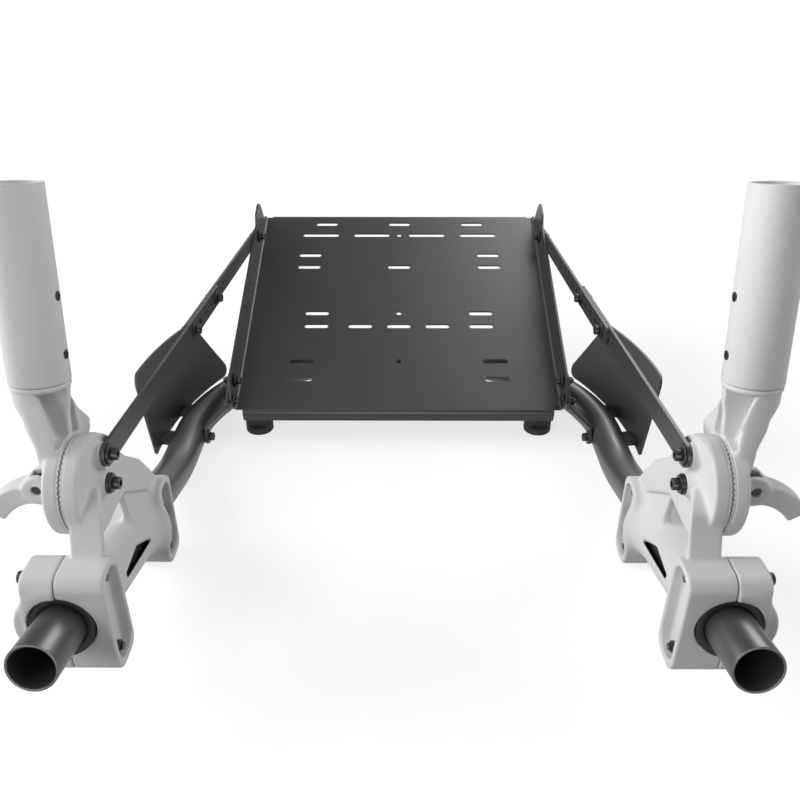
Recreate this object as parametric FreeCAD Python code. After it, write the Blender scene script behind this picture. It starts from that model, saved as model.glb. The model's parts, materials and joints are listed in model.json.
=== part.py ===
import FreeCAD, Part
import math
import os

# Front frame of a folding driving-game cockpit: slotted pedal plate, floor tube, side castings with
# toothed hinges, the feet of the two uprights, brace struts and side guards. Millimetres, +Z up,
# +Y towards the pedals, floor at z = 0. Y is measured from the near edge of the pedal plate until the
# pieces are moved to the middle of the part at the end.

# Pedal plate
plate_width = 400.0
plate_depth = 377.0
plate_tilt = 21.6
plate_sheet = 2.5
near_edge_height = 39.4
flange_height = 34.0
flange_lean = 6.0
ear_height = 42.0
ear_start = plate_depth - 51.0
flange_end = plate_depth - 19.0
bend_radius = 3.0
lip_height = 16.0
lip_radius = 6.0
far_lip_height = 12.0
lip_inset = 9.0
slot_width = 7.5
short_slot = 32.0
long_slot = 53.0
centre_hole = 7.0
flange_hole = 7.0
flange_hole_height = 19.0
flange_hole_places = (70.0, 115.0, 160.0, 205.0, 250.0)

# Rubber feet under the plate
foot_radius = 17.0
foot_x = 0.5 * plate_width - 24.0
foot_edge = 2.0
foot_setback = 1.0

# Clearances
tube_clearance = 0.3
pivot_clearance = 0.3
spigot_clearance = 0.3
hole_clearance = 0.3
seat_gap = 0.3
split_gap = 1.2
tooth_gap = 0.3

# Floor tube
tube_radius = 19.0
tube_wall = 2.0
base_x = 0.5 * plate_width + 52.0
base_slope = 13.0
slope_bend = 200.0
corner_bend = 190.0
cross_y = 172.0
front_tube_start = -332.0
rear_tube_start = -344.0
rear_tube_end = -452.0

# Clamps and sleeve of the side casting
clamp_length = 38.0
clamp_round = 12.0
front_clamp_y = -214.0
rear_clamp_y = -382.0
bore_radius = tube_radius + tube_clearance
bushing_radius = bore_radius + 6.5
sleeve_radius = bore_radius + 7.7
front_clamp_wall = bore_radius + 8.7
rear_clamp_wall = bushing_radius + 11.2
bushing_proud = 1.5
cap_ring_wall = 12.0
clamp_screw_margin = 10.2
clamp_end_margin = 12.0
ear_margin = 0.066
clamp_screw_height = bushing_radius + clamp_screw_margin
clamp_half_height = clamp_screw_height + clamp_end_margin
front_clamp_top = bore_radius + 23.2
cast_edge = 2.0
sleeve_flare = 4.0
flare_run = 42.0
pocket_depth = 9.0
pocket_rim = 5.0
window_length = 46.0
window_height = 17.0
window_y = -292.0

# Toothed hinge
hinge_y = -326.0
hinge_z = 170.0
disc_radius = 40.0
disc_inner_x = base_x - 16.0
tooth_x = disc_inner_x + 13.0
outer_disc_x = tooth_x + 14.0
inner_rim = 2.5
outer_rim = 4.0
tooth_count = 60
tooth_depth = 1.6
tooth_ring = 9.0
tooth_land = 0.7
pivot_radius = 4.0
pivot_stack = 2.0
pivot_boss_height = 10.0
pivot_boss_radius = 31.0
strut_boss_radius = 10.0
strut_boss_height = 8.0
strut_boss_reach = 23.5
strut_boss_angle = 20.0

# Shoulder and rear post of the side casting, measured from the hinge axis but for web_seat_y and the X sizes
web_sheet = 7.0
web_crown = 55.0
web_knee = (83.0, -20.0)
web_notch = (47.0, -47.0)
web_root = (34.0, -28.0)
web_seat_y = -270.0
post_inner_x = disc_inner_x - 9.0
post_outer_x = tooth_x + 7.0
post_rear = -37.0
post_front = -24.0
post_tip = -10.0
post_shoulder = -30.0
post_top = 4.0
post_slit = 8.0

# Upright and its ribbed neck
upright_lean = 11.0
upright_x = outer_disc_x + 5.0
upright_radius = 22.5
upright_wall = 2.5
neck_foot = 22.0
neck_length = 84.0
collar_height = 4.0
collar_proud = 1.0
upright_length = 145.0
spigot_length = 82.0
spigot_wall = 5.0
upright_screw_heights = (105.0, 149.0)
upright_screw_radius = 4.0
upright_shank_radius = 2.6
channel_places = ((-15.5, -4.0), (2.0, 13.5))
wing_sheet = 7.0

# Clamp lever
cam_radius = 11.0
cam_seat_radius = 12.0
cam_washer = 4.5
lever_width = 22.0
lever_thickness = 9.0
lever_arc = 53.0
lever_sweep = 60.0
fork_slot = 9.0
eye_side = 0.5
eye_radius = 7.0
lever_pin_radius = 3.0

# Struts, links and screws
strut_width = 20.0
strut_sheet = 3.0
strut_far_s = plate_depth - 71.0
strut_joints = (0.42, 0.58)
strut_tail = 0.02
strut_hole = 6.5
strut_hole_pitch = 23.5
link_width = 17.0
link_sheet = 3.0
link_run = 10.0
link_tube_y = -22.0
link_bolt_s = (10.0, 36.0)
link_bolt_height = 11.0
screw_radius = 3.0
screw_bite = 8.0
screw_tail = 1.5
head_radius = 5.0
head_height = 5.5
washer_radius = 8.5
washer_sheet = 1.6
ear_reach = ear_margin + math.sqrt((bushing_radius + cap_ring_wall) ** 2
                                   - (clamp_screw_height - washer_radius) ** 2)
nut_radius = 5.0
nut_height = 4.5
socket_radius = 2.6
socket_depth = 3.0

# Side guards
guard_sheet = 3.0
guard_base = (base_x + 12.5, 46.0)
guard_toe_in = 13.2
guard_lean = 12.0
guard_height = 88.0
guard_plan_radius = 420.0
guard_bottom_half = 107.0
guard_top = (-88.0, 64.0)
guard_round = 16.0
guard_bulge = 10.0
tab_places = (-72.0, -8.0)
tab_width = 26.0
tab_sheet = 4.0

# Worked-out values
slope = math.radians(base_slope)
tilt = math.radians(plate_tilt)
lean = math.radians(flange_lean)
front_axis_z = clamp_half_height
origin_shift = -0.5 * (rear_tube_end + plate_depth * math.cos(tilt))
X_AXIS = FreeCAD.Vector(1, 0, 0)
Y_AXIS = FreeCAD.Vector(0, 1, 0)
Z_AXIS = FreeCAD.Vector(0, 0, 1)
ORIGIN = FreeCAD.Vector(0, 0, 0)


def point(x, y, z):
    return FreeCAD.Vector(x, y, z)


def axis_z(y):
    """Height of the sloped part of the floor tube's axis at y."""
    return front_axis_z - (y - front_clamp_y) * math.tan(slope)


def in_yz(x):
    return lambda a, b: point(x, a, b)


def in_xz(y):
    return lambda a, b: point(a, y, b)


def rounded_face(corners, place):
    """Flat face from corners (a, b, radius), drawn in the plane that place gives."""
    ends = []
    count = len(corners)
    for index in range(count):
        a, b, radius = corners[index]
        here = FreeCAD.Vector(a, b, 0)
        before = FreeCAD.Vector(*corners[index - 1][:2], 0)
        after = FreeCAD.Vector(*corners[(index + 1) % count][:2], 0)
        to_before = (before - here).normalize()
        to_after = (after - here).normalize()
        if radius <= 0:
            ends.append((here, None, here))
            continue
        half = 0.5 * to_before.getAngle(to_after)
        reach = radius / math.tan(half)
        middle = (to_before + to_after).normalize()
        crown = here + middle * (radius / math.sin(half) - radius)
        ends.append((here + to_before * reach, crown, here + to_after * reach))
    edges = []
    for index in range(count):
        start, crown, stop = ends[index]
        if crown is not None:
            arc = Part.Arc(place(*start[:2]), place(*crown[:2]), place(*stop[:2]))
            edges.append(arc.toShape())
        following = ends[(index + 1) % count][0]
        if (following - stop).Length > 1e-6:
            edges.append(Part.makeLine(place(*stop[:2]), place(*following[:2])))
    return Part.Face(Part.Wire(edges))


def prism(corners, place, along):
    return rounded_face(corners, place).extrude(along)


def box(x0, x1, y0, y1, z0, z1):
    return Part.makeBox(x1 - x0, y1 - y0, z1 - z0, point(x0, y0, z0))


def rod(start, along, radius, length):
    return Part.makeCylinder(radius, length, start, along)


def fused(shapes):
    return shapes[0].multiFuse(shapes[1:]).removeSplitter()


def turned(start, along, steps):
    """Turned solid from start: a stack of (length, radius) steps along the axis."""
    base = FreeCAD.Vector(along).normalize()
    out = base.cross(Z_AXIS if abs(base.z) < 0.9 else X_AXIS).normalize()
    spots = [start]
    travel = 0.0
    for length, radius in steps:
        spots.append(start + base * travel + out * radius)
        travel += length
        spots.append(start + base * travel + out * radius)
    spots.append(start + base * travel)
    face = Part.Face(Part.makePolygon(spots + [start]))
    return face.revolve(start, base, 360)


def mirrored(shape):
    return shape.mirror(ORIGIN, X_AXIS)


def on_plate(shape):
    """Moves a shape from the flat plate frame (x, depth, height) to its tilted place."""
    moved = shape.copy()
    moved.rotate(ORIGIN, X_AXIS, plate_tilt)
    moved.translate(point(0, 0, near_edge_height))
    return moved


def plate_point(x, s, h):
    y = s * math.cos(tilt) - h * math.sin(tilt)
    z = s * math.sin(tilt) + h * math.cos(tilt)
    return point(x, y, near_edge_height + z)


def flange_outer_x(h):
    """Outer face of the side flange at height h over the deck."""
    return 0.5 * plate_width + h * math.tan(lean) + plate_sheet / math.cos(lean)


def flange_inner_x(h):
    """Inner face of the side flange at height h over the deck."""
    return 0.5 * plate_width + h * math.tan(lean)


def slot_tool(x, s, length):
    half = 0.5 * slot_width
    straight = 0.5 * length - half
    tools = [box(x - straight, x + straight, s - half, s + half, -lip_height, lip_height)]
    for end in (-straight, straight):
        tools.append(rod(point(x + end, s, -lip_height), Z_AXIS, half, 2 * lip_height))
    return fused(tools)


def deck_slots():
    """Rows of fixing slots: depth, then (centre distance, length) pairs used on both sides."""
    rows = (
        (plate_depth - 21.0, ((0.0, short_slot), (108.0, short_slot))),
        (plate_depth - 46.0, ((40.5, long_slot), (115.5, long_slot))),
        (plate_depth - 90.0, ((128.0, short_slot),)),
        (plate_depth - 115.0, ((0.0, short_slot), (128.0, short_slot))),
        (170.0, ((110.5, short_slot),)),
        (146.0, ((0.0, short_slot), (51.5, short_slot), (110.0, short_slot))),
        (84.0, ((124.7, short_slot),)),
        (54.0, ((125.0, short_slot),)),
    )
    tools = []
    for s, slots in rows:
        for x, length in slots:
            for side in (-1, 1) if x else (1,):
                tools.append(slot_tool(side * x, s, length))
    for s in (84.0, 170.0, plate_depth - 46.0):
        tools.append(rod(point(0, s, -lip_height), Z_AXIS, 0.5 * centre_hole, 2 * lip_height))
    return tools


def bends(shape, spots, radius):
    """Rounds the edges of a shape whose middle lies at one of the spots."""
    chosen = []
    for edge in shape.Edges:
        middle = edge.valueAt(0.5 * (edge.FirstParameter + edge.LastParameter))
        if any((middle - spot).Length < 0.05 for spot in spots):
            chosen.append(edge)
    return shape.makeFillet(radius, chosen)


def flange_trim():
    """What is cut away above the side flanges, as one prism across the plate."""
    reach = plate_width
    top = 3 * ear_height
    near = [(-1, bend_radius, 0), (0, bend_radius, 0), (4, 16, 0), (26, flange_height, 16)]
    ear = [(ear_start - 14, flange_height, 6), (ear_start, ear_height, 6), (flange_end, ear_height, 12)]
    far = [(flange_end, bend_radius, 0), (plate_depth + 1, bend_radius, 0)]
    outline = near + ear + far + [(plate_depth + 1, top, 0), (-1, top, 0)]
    return prism(outline, in_yz(-reach), point(2 * reach, 0, 0))


def plate_lip(edge, inward, height):
    """Folded-down lip along the near or far edge of the deck."""
    width = 0.5 * plate_width - lip_inset
    root = edge + inward * (lip_radius + seat_gap)
    outline = [
        (root, 0, 0),
        (edge, 0, lip_radius),
        (edge, -height, 0),
        (edge + inward * plate_sheet, -height, 0),
        (edge + inward * plate_sheet, -plate_sheet, lip_radius - plate_sheet),
        (root, -plate_sheet, 0),
    ]
    return prism(outline, in_yz(-width), point(2 * width, 0, 0))


def pedal_plate():
    half = 0.5 * plate_width
    top = half + ear_height * math.tan(lean)
    skin = plate_sheet / math.cos(lean)
    low = half - plate_sheet * math.tan(lean) + skin
    right = [(half, 0), (top, ear_height), (top + skin, ear_height), (low, -plate_sheet)]
    left = [(-x, h) for x, h in reversed(right)]
    section = [(x, h, 0) for x, h in right + left]
    deck_depth = plate_depth - 2 * lip_radius
    sheet = prism(section, in_xz(lip_radius), point(0, deck_depth, 0))
    mid = 0.5 * plate_depth
    sheet = bends(sheet, [point(side * half, mid, 0) for side in (-1, 1)], bend_radius)
    outer = [point(side * low, mid, -plate_sheet) for side in (-1, 1)]
    sheet = bends(sheet, outer, bend_radius + plate_sheet)
    sheet = sheet.cut(flange_trim())
    sheet = fused([sheet, plate_lip(0, 1, lip_height), plate_lip(plate_depth, -1, far_lip_height)])
    tools = deck_slots()
    radius = 0.5 * flange_hole
    for s in flange_hole_places:
        tools.append(rod(point(-plate_width, s, flange_hole_height), X_AXIS, radius, 2 * plate_width))
    bolt_hole = screw_radius + hole_clearance
    for s in link_bolt_s + (strut_far_s,):
        tools.append(rod(point(-plate_width, s, flange_bolt_height(s)), X_AXIS, bolt_hole, 2 * plate_width))
    return on_plate(sheet.cut(tools))


def flange_bolt_height(s):
    """Height over the deck of the flange bolt at depth s."""
    return link_bolt_height if s == link_bolt_s[0] else flange_hole_height


def plate_foot(side):
    """Rubber foot, trimmed flat to the underside of the plate behind the near lip."""
    reach = lip_height * math.sin(tilt) + plate_sheet
    y = reach + foot_radius + foot_setback
    foot = rod(point(side * foot_x, y, 0), Z_AXIS, foot_radius, near_edge_height + foot_radius)
    foot = foot.makeFillet(foot_edge, [foot.Edges[2]])
    above = on_plate(box(-plate_width, plate_width, -lip_height, plate_depth, -plate_sheet, plate_depth))
    lip = on_plate(box(-plate_width, plate_width, -lip_height, plate_sheet + seat_gap, -2 * lip_height, 0))
    return foot.cut([above, lip])


def pipe(path, radius, wall):
    """Round tube along a wire of straight runs and tangent arcs."""
    first = path.OrderedEdges[0]
    start = first.valueAt(first.FirstParameter)
    toward = first.tangentAt(first.FirstParameter)
    outer = Part.Wire(Part.makeCircle(radius, start, toward))
    solid = path.makePipeShell([outer], True, True)
    if wall is None:
        return solid
    inner = Part.Wire(Part.makeCircle(radius - wall, start, toward))
    return solid.cut(path.makePipeShell([inner], True, True))


def arc_points(centre, first, second, radius, angle):
    """Middle and end of an arc that starts at centre - second * radius and heads along first."""
    points = []
    for share in (0.5, 1.0):
        turn = angle * share
        points.append(centre - second * (radius * math.cos(turn)) + first * (radius * math.sin(turn)))
    return points


def front_path():
    """Axis of the floor tube: down the slope, level along the floor, round the front to the other side."""
    level_z = tube_radius
    half_turn = slope_bend * math.tan(0.5 * slope)
    meet_y = front_clamp_y + (front_axis_z - level_z) / math.tan(slope)
    start = point(base_x, front_tube_start, axis_z(front_tube_start))
    slope_end = point(base_x, meet_y - half_turn * math.cos(slope), level_z + half_turn * math.sin(slope))
    level_start = point(base_x, meet_y + half_turn, level_z)
    centre = point(base_x, level_start.y, level_z + slope_bend)
    sag = 0.5 * slope
    dip = point(base_x, centre.y - slope_bend * math.sin(sag), centre.z - slope_bend * math.cos(sag))
    turn_y = cross_y - corner_bend
    corner = point(base_x, turn_y, level_z)
    middle = point(base_x - corner_bend, turn_y, level_z)
    bend = arc_points(middle, Y_AXIS, point(-1, 0, 0), corner_bend, 0.5 * math.pi)
    right = [
        Part.makeLine(start, slope_end),
        Part.Arc(slope_end, dip, level_start).toShape(),
        Part.makeLine(level_start, corner),
        Part.Arc(corner, bend[0], bend[1]).toShape(),
    ]
    cross = Part.makeLine(bend[1], point(-bend[1].x, bend[1].y, bend[1].z))
    left = [mirrored(edge) for edge in right]
    return Part.Wire(Part.__sortEdges__(right + [cross] + left))


def front_tube():
    tube = pipe(front_path(), tube_radius, tube_wall)
    for side in (-1, 1):
        hole = rod(point(side * (base_x - 2 * tube_radius), link_tube_y, tube_radius), point(side, 0, 0),
                   screw_radius + hole_clearance, 2 * tube_radius)
        tube = tube.cut(hole)
    return tube


def slope_direction():
    return point(0, math.cos(slope), -math.sin(slope))


def slope_rod(start_y, stop_y, radius):
    """Cylinder on the sloped axis of the right side between two places along Y."""
    start = point(base_x, start_y, axis_z(start_y))
    return rod(start, slope_direction(), radius, (stop_y - start_y) / math.cos(slope))


def rear_tube():
    outer = slope_rod(rear_tube_end, rear_tube_start, tube_radius)
    return outer.cut(slope_rod(rear_tube_end - 1, rear_tube_start + 1, tube_radius - tube_wall))


def rear_bushing():
    rear = rear_clamp_y - 0.5 * clamp_length - bushing_proud
    front = rear_clamp_y + 0.5 * clamp_length
    ring = slope_rod(rear, front, bushing_radius - tube_clearance)
    return ring.cut(slope_rod(rear - 1, front + 1, bore_radius))


def clamp_outline(y, z, top):
    """Rounded side outline of a clamp whose upper end stands top over the tube axis."""
    half = 0.5 * clamp_length
    low = z - clamp_half_height
    high = z + top
    corners = [(y - half, low), (y + half, low), (y + half, high), (y - half, high)]
    return [(a, b, clamp_round) for a, b in corners]


def clamp_places():
    """Each clamp as its place along Y, the height of its axis, its top over that, inner wall and bore."""
    return (
        (front_clamp_y, axis_z(front_clamp_y), front_clamp_top, front_clamp_wall, bore_radius),
        (rear_clamp_y, axis_z(rear_clamp_y), clamp_half_height, rear_clamp_wall, bushing_radius),
    )


def clamp_screw_levels(z, top):
    """Heights of the lower and the upper screw of a clamp."""
    return (z - clamp_screw_height, z + top - clamp_end_margin)


def eased_face(shape, x, radius):
    """Rounds the outline of the flat face of a prism at x."""
    return shape.makeFillet(radius, [edge for edge in shape.Edges if abs(edge.BoundBox.XMin - x) < 1e-6
                                     and edge.BoundBox.XLength < 1e-6])


def clamp_inner_half(y, z, top, wall):
    """Inner half of a clamp with the tall open pocket for its two nuts."""
    inner = base_x - wall
    block = prism(clamp_outline(y, z, top), in_yz(inner), point(wall - 0.5 * split_gap, 0, 0))
    block = eased_face(block, inner, cast_edge)
    half = 0.5 * clamp_length - pocket_rim
    low = z - clamp_half_height + pocket_rim
    high = z + top - pocket_rim
    outline = [(y - half, low), (y + half, low), (y + half, high), (y - half, high)]
    pocket = [(a, b, half - 0.5) for a, b in outline]
    return block.cut(prism(pocket, in_yz(inner - 1), point(pocket_depth + 1, 0, 0)))


def clamp_bore(y, radius):
    return slope_rod(y - clamp_length, y + clamp_length, radius)


def clamp_screw_holes(y, z, top):
    holes = []
    for level in clamp_screw_levels(z, top):
        start = point(base_x - 2 * clamp_half_height, y, level)
        holes.append(rod(start, X_AXIS, screw_radius + hole_clearance, 4 * clamp_half_height))
    return holes


def clamp_cap(y, z, top, radius):
    """Outer half of a clamp: a half ring with a flat ear above and below."""
    half = 0.5 * clamp_length
    start = base_x + 0.5 * split_gap
    ears = prism(clamp_outline(y, z, top), in_yz(start), point(ear_reach - 0.5 * split_gap, 0, 0))
    ears = eased_face(ears, base_x + ear_reach, cast_edge)
    ring = rod(point(base_x, y - half, z), Y_AXIS, radius + cap_ring_wall, clamp_length)
    tall = 3 * tube_radius
    outside = box(start, base_x + 4 * tube_radius, y - half, y + half, z - tall, z + tall)
    cap = fused([ears, ring.common(outside)])
    return cap.cut([clamp_bore(y, radius)] + clamp_screw_holes(y, z, top))


def hinge_rod(x0, x1, radius, y=hinge_y, z=hinge_z):
    return rod(point(x0, y, z), X_AXIS, radius, x1 - x0)


def strut_boss_place():
    turn = math.radians(strut_boss_angle)
    y = hinge_y + strut_boss_reach * math.sin(turn)
    return y, hinge_z + strut_boss_reach * math.cos(turn)


def face_teeth(x, outward):
    """V grooves round the rim of a hinge disc, cut into its face at x."""
    pitch = 2 * math.pi * disc_radius / tooth_count
    half = 0.5 * (pitch - tooth_land)
    start = hinge_z + disc_radius - tooth_ring
    groove = rounded_face([(-half, 0, 0), (half, 0, 0), (0, tooth_depth, 0)],
                          lambda a, b: point(x - outward * (b - 0.01), hinge_y + a, start))
    groove = groove.extrude(point(0, 0, tooth_ring + 1))
    tools = []
    for index in range(tooth_count):
        tool = groove.copy()
        tool.rotate(point(x, hinge_y, hinge_z), X_AXIS, index * 360.0 / tooth_count)
        tools.append(tool)
    return tools


def rim_edges(shape, x, radius):
    return [edge for edge in shape.Edges
            if isinstance(edge.Curve, Part.Circle)
            and abs(edge.Curve.Center.x - x) < 1e-3
            and abs(edge.Curve.Radius - radius) < 1e-3]


def inner_disc():
    face = tooth_x - 0.5 * tooth_gap
    disc = hinge_rod(disc_inner_x, face, disc_radius)
    disc = disc.makeFillet(inner_rim, rim_edges(disc, disc_inner_x, disc_radius))
    return disc.cut(face_teeth(face, 1))


def by_hinge(spot, radius):
    """Corner of an outline whose place is given from the hinge axis."""
    return (hinge_y + spot[0], hinge_z + spot[1], radius)


def casting_web():
    """Shoulder from the front of the disc down to the top of the front clamp."""
    top = front_axis_z + front_clamp_top
    front = front_clamp_y + 0.5 * clamp_length
    crown = math.radians(web_crown)
    outline = [
        by_hinge((disc_radius * math.cos(crown), disc_radius * math.sin(crown)), 0),
        by_hinge(web_knee, 30),
        (front - 2, top - 8, 6),
        (front - 8, front_axis_z + bore_radius, 0),
        (front - clamp_length + 4, front_axis_z + bore_radius, 0),
        (web_seat_y, axis_z(web_seat_y) + bore_radius + 2.0, 0),
        by_hinge(web_notch, 8),
        by_hinge(web_root, 0),
    ]
    return prism(outline, in_yz(disc_inner_x), point(web_sheet, 0, 0))


def casting_post():
    """Thick rear post from the rear clamp up to a rounded finger on the disc's inner face."""
    foot = axis_z(rear_clamp_y) + 20 - hinge_z
    slit = -disc_radius - post_slit
    finger = [
        by_hinge((post_rear, foot), 0),
        by_hinge((post_front, foot), 0),
        by_hinge((post_front, post_top - 34), 10),
        by_hinge((post_tip, post_top - 12), 8),
        by_hinge((post_tip - 5, post_top), 3),
        by_hinge((post_shoulder + 6, post_top - 14), 8),
        by_hinge((post_rear, post_top - 42), 10),
    ]
    inner = prism(finger, in_yz(post_inner_x), point(disc_inner_x + web_sheet - post_inner_x, 0, 0))
    low = [(post_rear, foot), (post_front, foot), (post_front, slit), (post_rear, slit)]
    width = point(post_outer_x - post_inner_x, 0, 0)
    thick = prism([by_hinge(spot, 0) for spot in low], in_yz(post_inner_x), width)
    return fused([inner, thick])


def sleeve_cone(stop_y):
    """Trumpet end of the sleeve, widest where it meets the front clamp."""
    length = flare_run / math.cos(slope)
    start = point(base_x, stop_y - flare_run, axis_z(stop_y - flare_run))
    run = slope_direction()
    cone = Part.makeCone(sleeve_radius, sleeve_radius + sleeve_flare, length, start, run)
    mouth = rod(start + run * length, run, sleeve_radius + sleeve_flare, 0.5 * clamp_length)
    return fused([cone, mouth])


def sleeve_window():
    """Four-sided opening in the inner wall of the sleeve, along the slope."""
    z = axis_z(window_y)
    half = 0.5 * window_length
    tall = 0.5 * window_height
    drop = math.tan(slope)
    corners = []
    for a, b, radius in ((-half, -tall, 2), (0.1 * half, -tall, 2), (half, tall, 2), (-0.2 * half, tall, 4)):
        corners.append((window_y + a, z + b - a * drop, radius))
    inner = base_x - 1.4 * sleeve_radius
    return prism(corners, in_yz(inner), point(1.4 * sleeve_radius, 0, 0))


def pivot_boss():
    """Shallow cone on the disc's inner face that the washers of the pivot bolt sit on."""
    foot = point(disc_inner_x + 1, hinge_y, hinge_z)
    top = washer_radius + seat_gap
    return Part.makeCone(pivot_boss_radius, top, pivot_boss_height + 1, foot, point(-1, 0, 0))


def side_casting():
    """Main casting of the right side: hinge disc, post, shoulder, tube sleeve and both clamp halves."""
    sleeve = slope_rod(rear_clamp_y, front_clamp_y, sleeve_radius)
    flare = sleeve_cone(front_clamp_y - 0.5 * clamp_length)
    boss_y, boss_z = strut_boss_place()
    boss = hinge_rod(disc_inner_x - strut_boss_height, disc_inner_x + 1, strut_boss_radius, boss_y, boss_z)
    pieces = [sleeve, flare, boss, pivot_boss(), casting_web(), casting_post()]
    for y, z, top, wall, radius in clamp_places():
        pieces.append(clamp_inner_half(y, z, top, wall))
    body = inner_disc().multiFuse(pieces)
    cuts = [sleeve_window()]
    cuts.append(slope_rod(rear_clamp_y - clamp_length, front_clamp_y + clamp_length, bore_radius))
    cuts.append(slope_rod(rear_clamp_y - clamp_length, rear_clamp_y + 0.5 * clamp_length, bushing_radius))
    for y, z, top, wall, radius in clamp_places():
        half = 0.5 * clamp_length
        beyond = base_x - 0.5 * split_gap
        cuts.append(box(beyond, beyond + 60, y - half - 1, y + half + 1, z - 60, z + 60))
        cuts += clamp_screw_holes(y, z, top)
    cuts.append(hinge_rod(disc_inner_x - 30, outer_disc_x, pivot_radius + pivot_clearance))
    cuts.append(hinge_rod(disc_inner_x - 30, tooth_x - 3, screw_radius + hole_clearance, boss_y, boss_z))
    return body.cut(cuts)


def at_hinge(shape):
    """Moves a shape from the upright's own frame (hinge at the origin, upright vertical) to its place."""
    moved = shape.copy()
    moved.rotate(ORIGIN, X_AXIS, -upright_lean)
    moved.translate(point(0, hinge_y, hinge_z))
    return moved


def neck_section(x, y, half_x, half_y, power, z):
    """Closed smooth outline between an ellipse (power 2) and a rounded box (higher power)."""
    spots = []
    count = 16
    for index in range(count):
        turn = 2 * math.pi * index / count
        cos, sin = math.cos(turn), math.sin(turn)
        a = math.copysign(abs(cos) ** (2 / power), cos)
        b = math.copysign(abs(sin) ** (2 / power), sin)
        spots.append(point(x + half_x * a, y + half_y * b, z))
    curve = Part.BSplineCurve()
    curve.interpolate(spots, PeriodicFlag=True)
    return Part.Wire(curve.toShape())


def neck_loft():
    """Swan-necked body from the outer disc up to the collar."""
    low_x = 0.5 * (tooth_x + outer_disc_x) + 4
    sections = [
        neck_section(low_x, 4, 9.5, 29, 4, neck_foot),
        neck_section(low_x + 1, 3, 10.5, 27, 4, 0.4 * neck_length),
        neck_section(upright_x - 3, 1, 15, 23, 3, 0.67 * neck_length),
        neck_section(upright_x, 0, upright_radius - 1.5, upright_radius - 1.5, 2, 0.86 * neck_length),
        neck_section(upright_x, 0, upright_radius - 1, upright_radius - 1, 2, neck_length - 3),
    ]
    return Part.makeLoft(sections, True, False)


def neck_channels():
    """Two deep channels in the inner side of the neck that leave three ribs standing."""
    outline = [
        (tooth_x - 20, 0.43 * neck_length, 0),
        (tooth_x + 10, 0.43 * neck_length, 4),
        (upright_x - 3, 0.69 * neck_length, 10),
        (upright_x + 4, neck_length - 8, 5),
        (tooth_x - 20, neck_length - 8, 0),
    ]
    tools = []
    for start, stop in channel_places:
        tools.append(prism(outline, in_xz(start), point(0, stop - start, 0)))
    return tools


def hinge_arm():
    """Moving half of the hinge: toothed disc, ribbed swan neck, collar and the spigot in the upright."""
    face = tooth_x + 0.5 * tooth_gap
    disc = hinge_rod(face, outer_disc_x, disc_radius)
    disc = disc.makeFillet(outer_rim, rim_edges(disc, outer_disc_x, disc_radius))
    teeth = face_teeth(face, -1)
    half_step = 180.0 / tooth_count
    for tool in teeth:
        tool.rotate(point(face, hinge_y, hinge_z), X_AXIS, half_step)
    disc = disc.cut(teeth)
    neck = neck_loft().cut(neck_channels())
    wing = prism([(14, 0.83 * neck_length, 0), (37, 30, 6), (30, neck_foot, 0), (8, neck_foot, 0)],
                 in_yz(tooth_x + 4), point(wing_sheet, 0, 0))
    collar_foot = neck_length - collar_height
    collar = rod(point(upright_x, 0, collar_foot), Z_AXIS, upright_radius + collar_proud, collar_height)
    collar = collar.makeFillet(1.5, rim_at(collar, collar_foot))
    spigot_radius = upright_radius - upright_wall - spigot_clearance
    spigot = rod(point(upright_x, 0, neck_length - 2), Z_AXIS, spigot_radius, spigot_length)
    hollow = rod(point(upright_x, 0, neck_length + 4), Z_AXIS, spigot_radius - spigot_wall, spigot_length)
    upper = fused([neck, wing, collar, spigot]).cut(hollow)
    for height in upright_screw_heights:
        upper = upper.cut(upright_screw_hole(height, upright_shank_radius + 0.2))
    clear = box(0, face, -2 * neck_length, 2 * neck_length, -2 * neck_length, 0.6 * disc_radius)
    arm = fused([disc, at_hinge(upper.cut(clear))])
    return arm.cut(hinge_rod(face - 1, outer_disc_x + 60, pivot_radius + pivot_clearance))


def rim_at(shape, z):
    return [edge for edge in shape.Edges if abs(edge.CenterOfMass.z - z) < 1e-3]


def upright_screw_hole(height, radius):
    return rod(point(upright_x - 2 * upright_radius, 0, height), X_AXIS, radius, 2 * upright_radius)


def upright_tube():
    tube = rod(point(upright_x, 0, neck_length), Z_AXIS, upright_radius, upright_length)
    tube = tube.cut(rod(point(upright_x, 0, neck_length - 1), Z_AXIS, upright_radius - upright_wall,
                        upright_length + 2))
    for height in upright_screw_heights:
        tube = tube.cut(upright_screw_hole(height, upright_screw_radius + hole_clearance))
    return at_hinge(tube)


def upright_screws():
    """Two countersunk screws in the inner side of the upright, held in the spigot."""
    screws = []
    spigot_face = upright_x - (upright_radius - upright_wall - spigot_clearance)
    for height in upright_screw_heights:
        head = rod(point(upright_x - upright_radius + 0.6, 0, height), X_AXIS, upright_screw_radius, 2.2)
        shank_end = spigot_face + spigot_wall
        shank_start = upright_x - upright_radius + 2.0
        shank = rod(point(shank_start, 0, height), X_AXIS, upright_shank_radius,
                    shank_end - shank_start)
        socket = rod(point(upright_x - upright_radius - 1, 0, height), X_AXIS, 1.6, 3.0)
        screws.append(at_hinge(fused([head, shank]).cut(socket)))
    return Part.makeCompound(screws)


def bolt(start, along, grip, nut=True):
    """Socket screw with washer: head at start, shank through grip, nut behind it."""
    way = FreeCAD.Vector(along).normalize()
    head_face = start - way * (seat_gap + washer_sheet + head_height)
    steps = [(head_height, head_radius), (washer_sheet, washer_radius), (2 * seat_gap + grip, screw_radius)]
    if nut:
        steps += [(nut_height, nut_radius), (screw_tail, screw_radius)]
    screw = turned(head_face, way, steps)
    return screw.cut(rod(head_face - way, way, socket_radius, socket_depth + 1.0))


def lever_pin_place():
    return outer_disc_x + 2 * seat_gap + cam_washer + cam_radius


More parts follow.
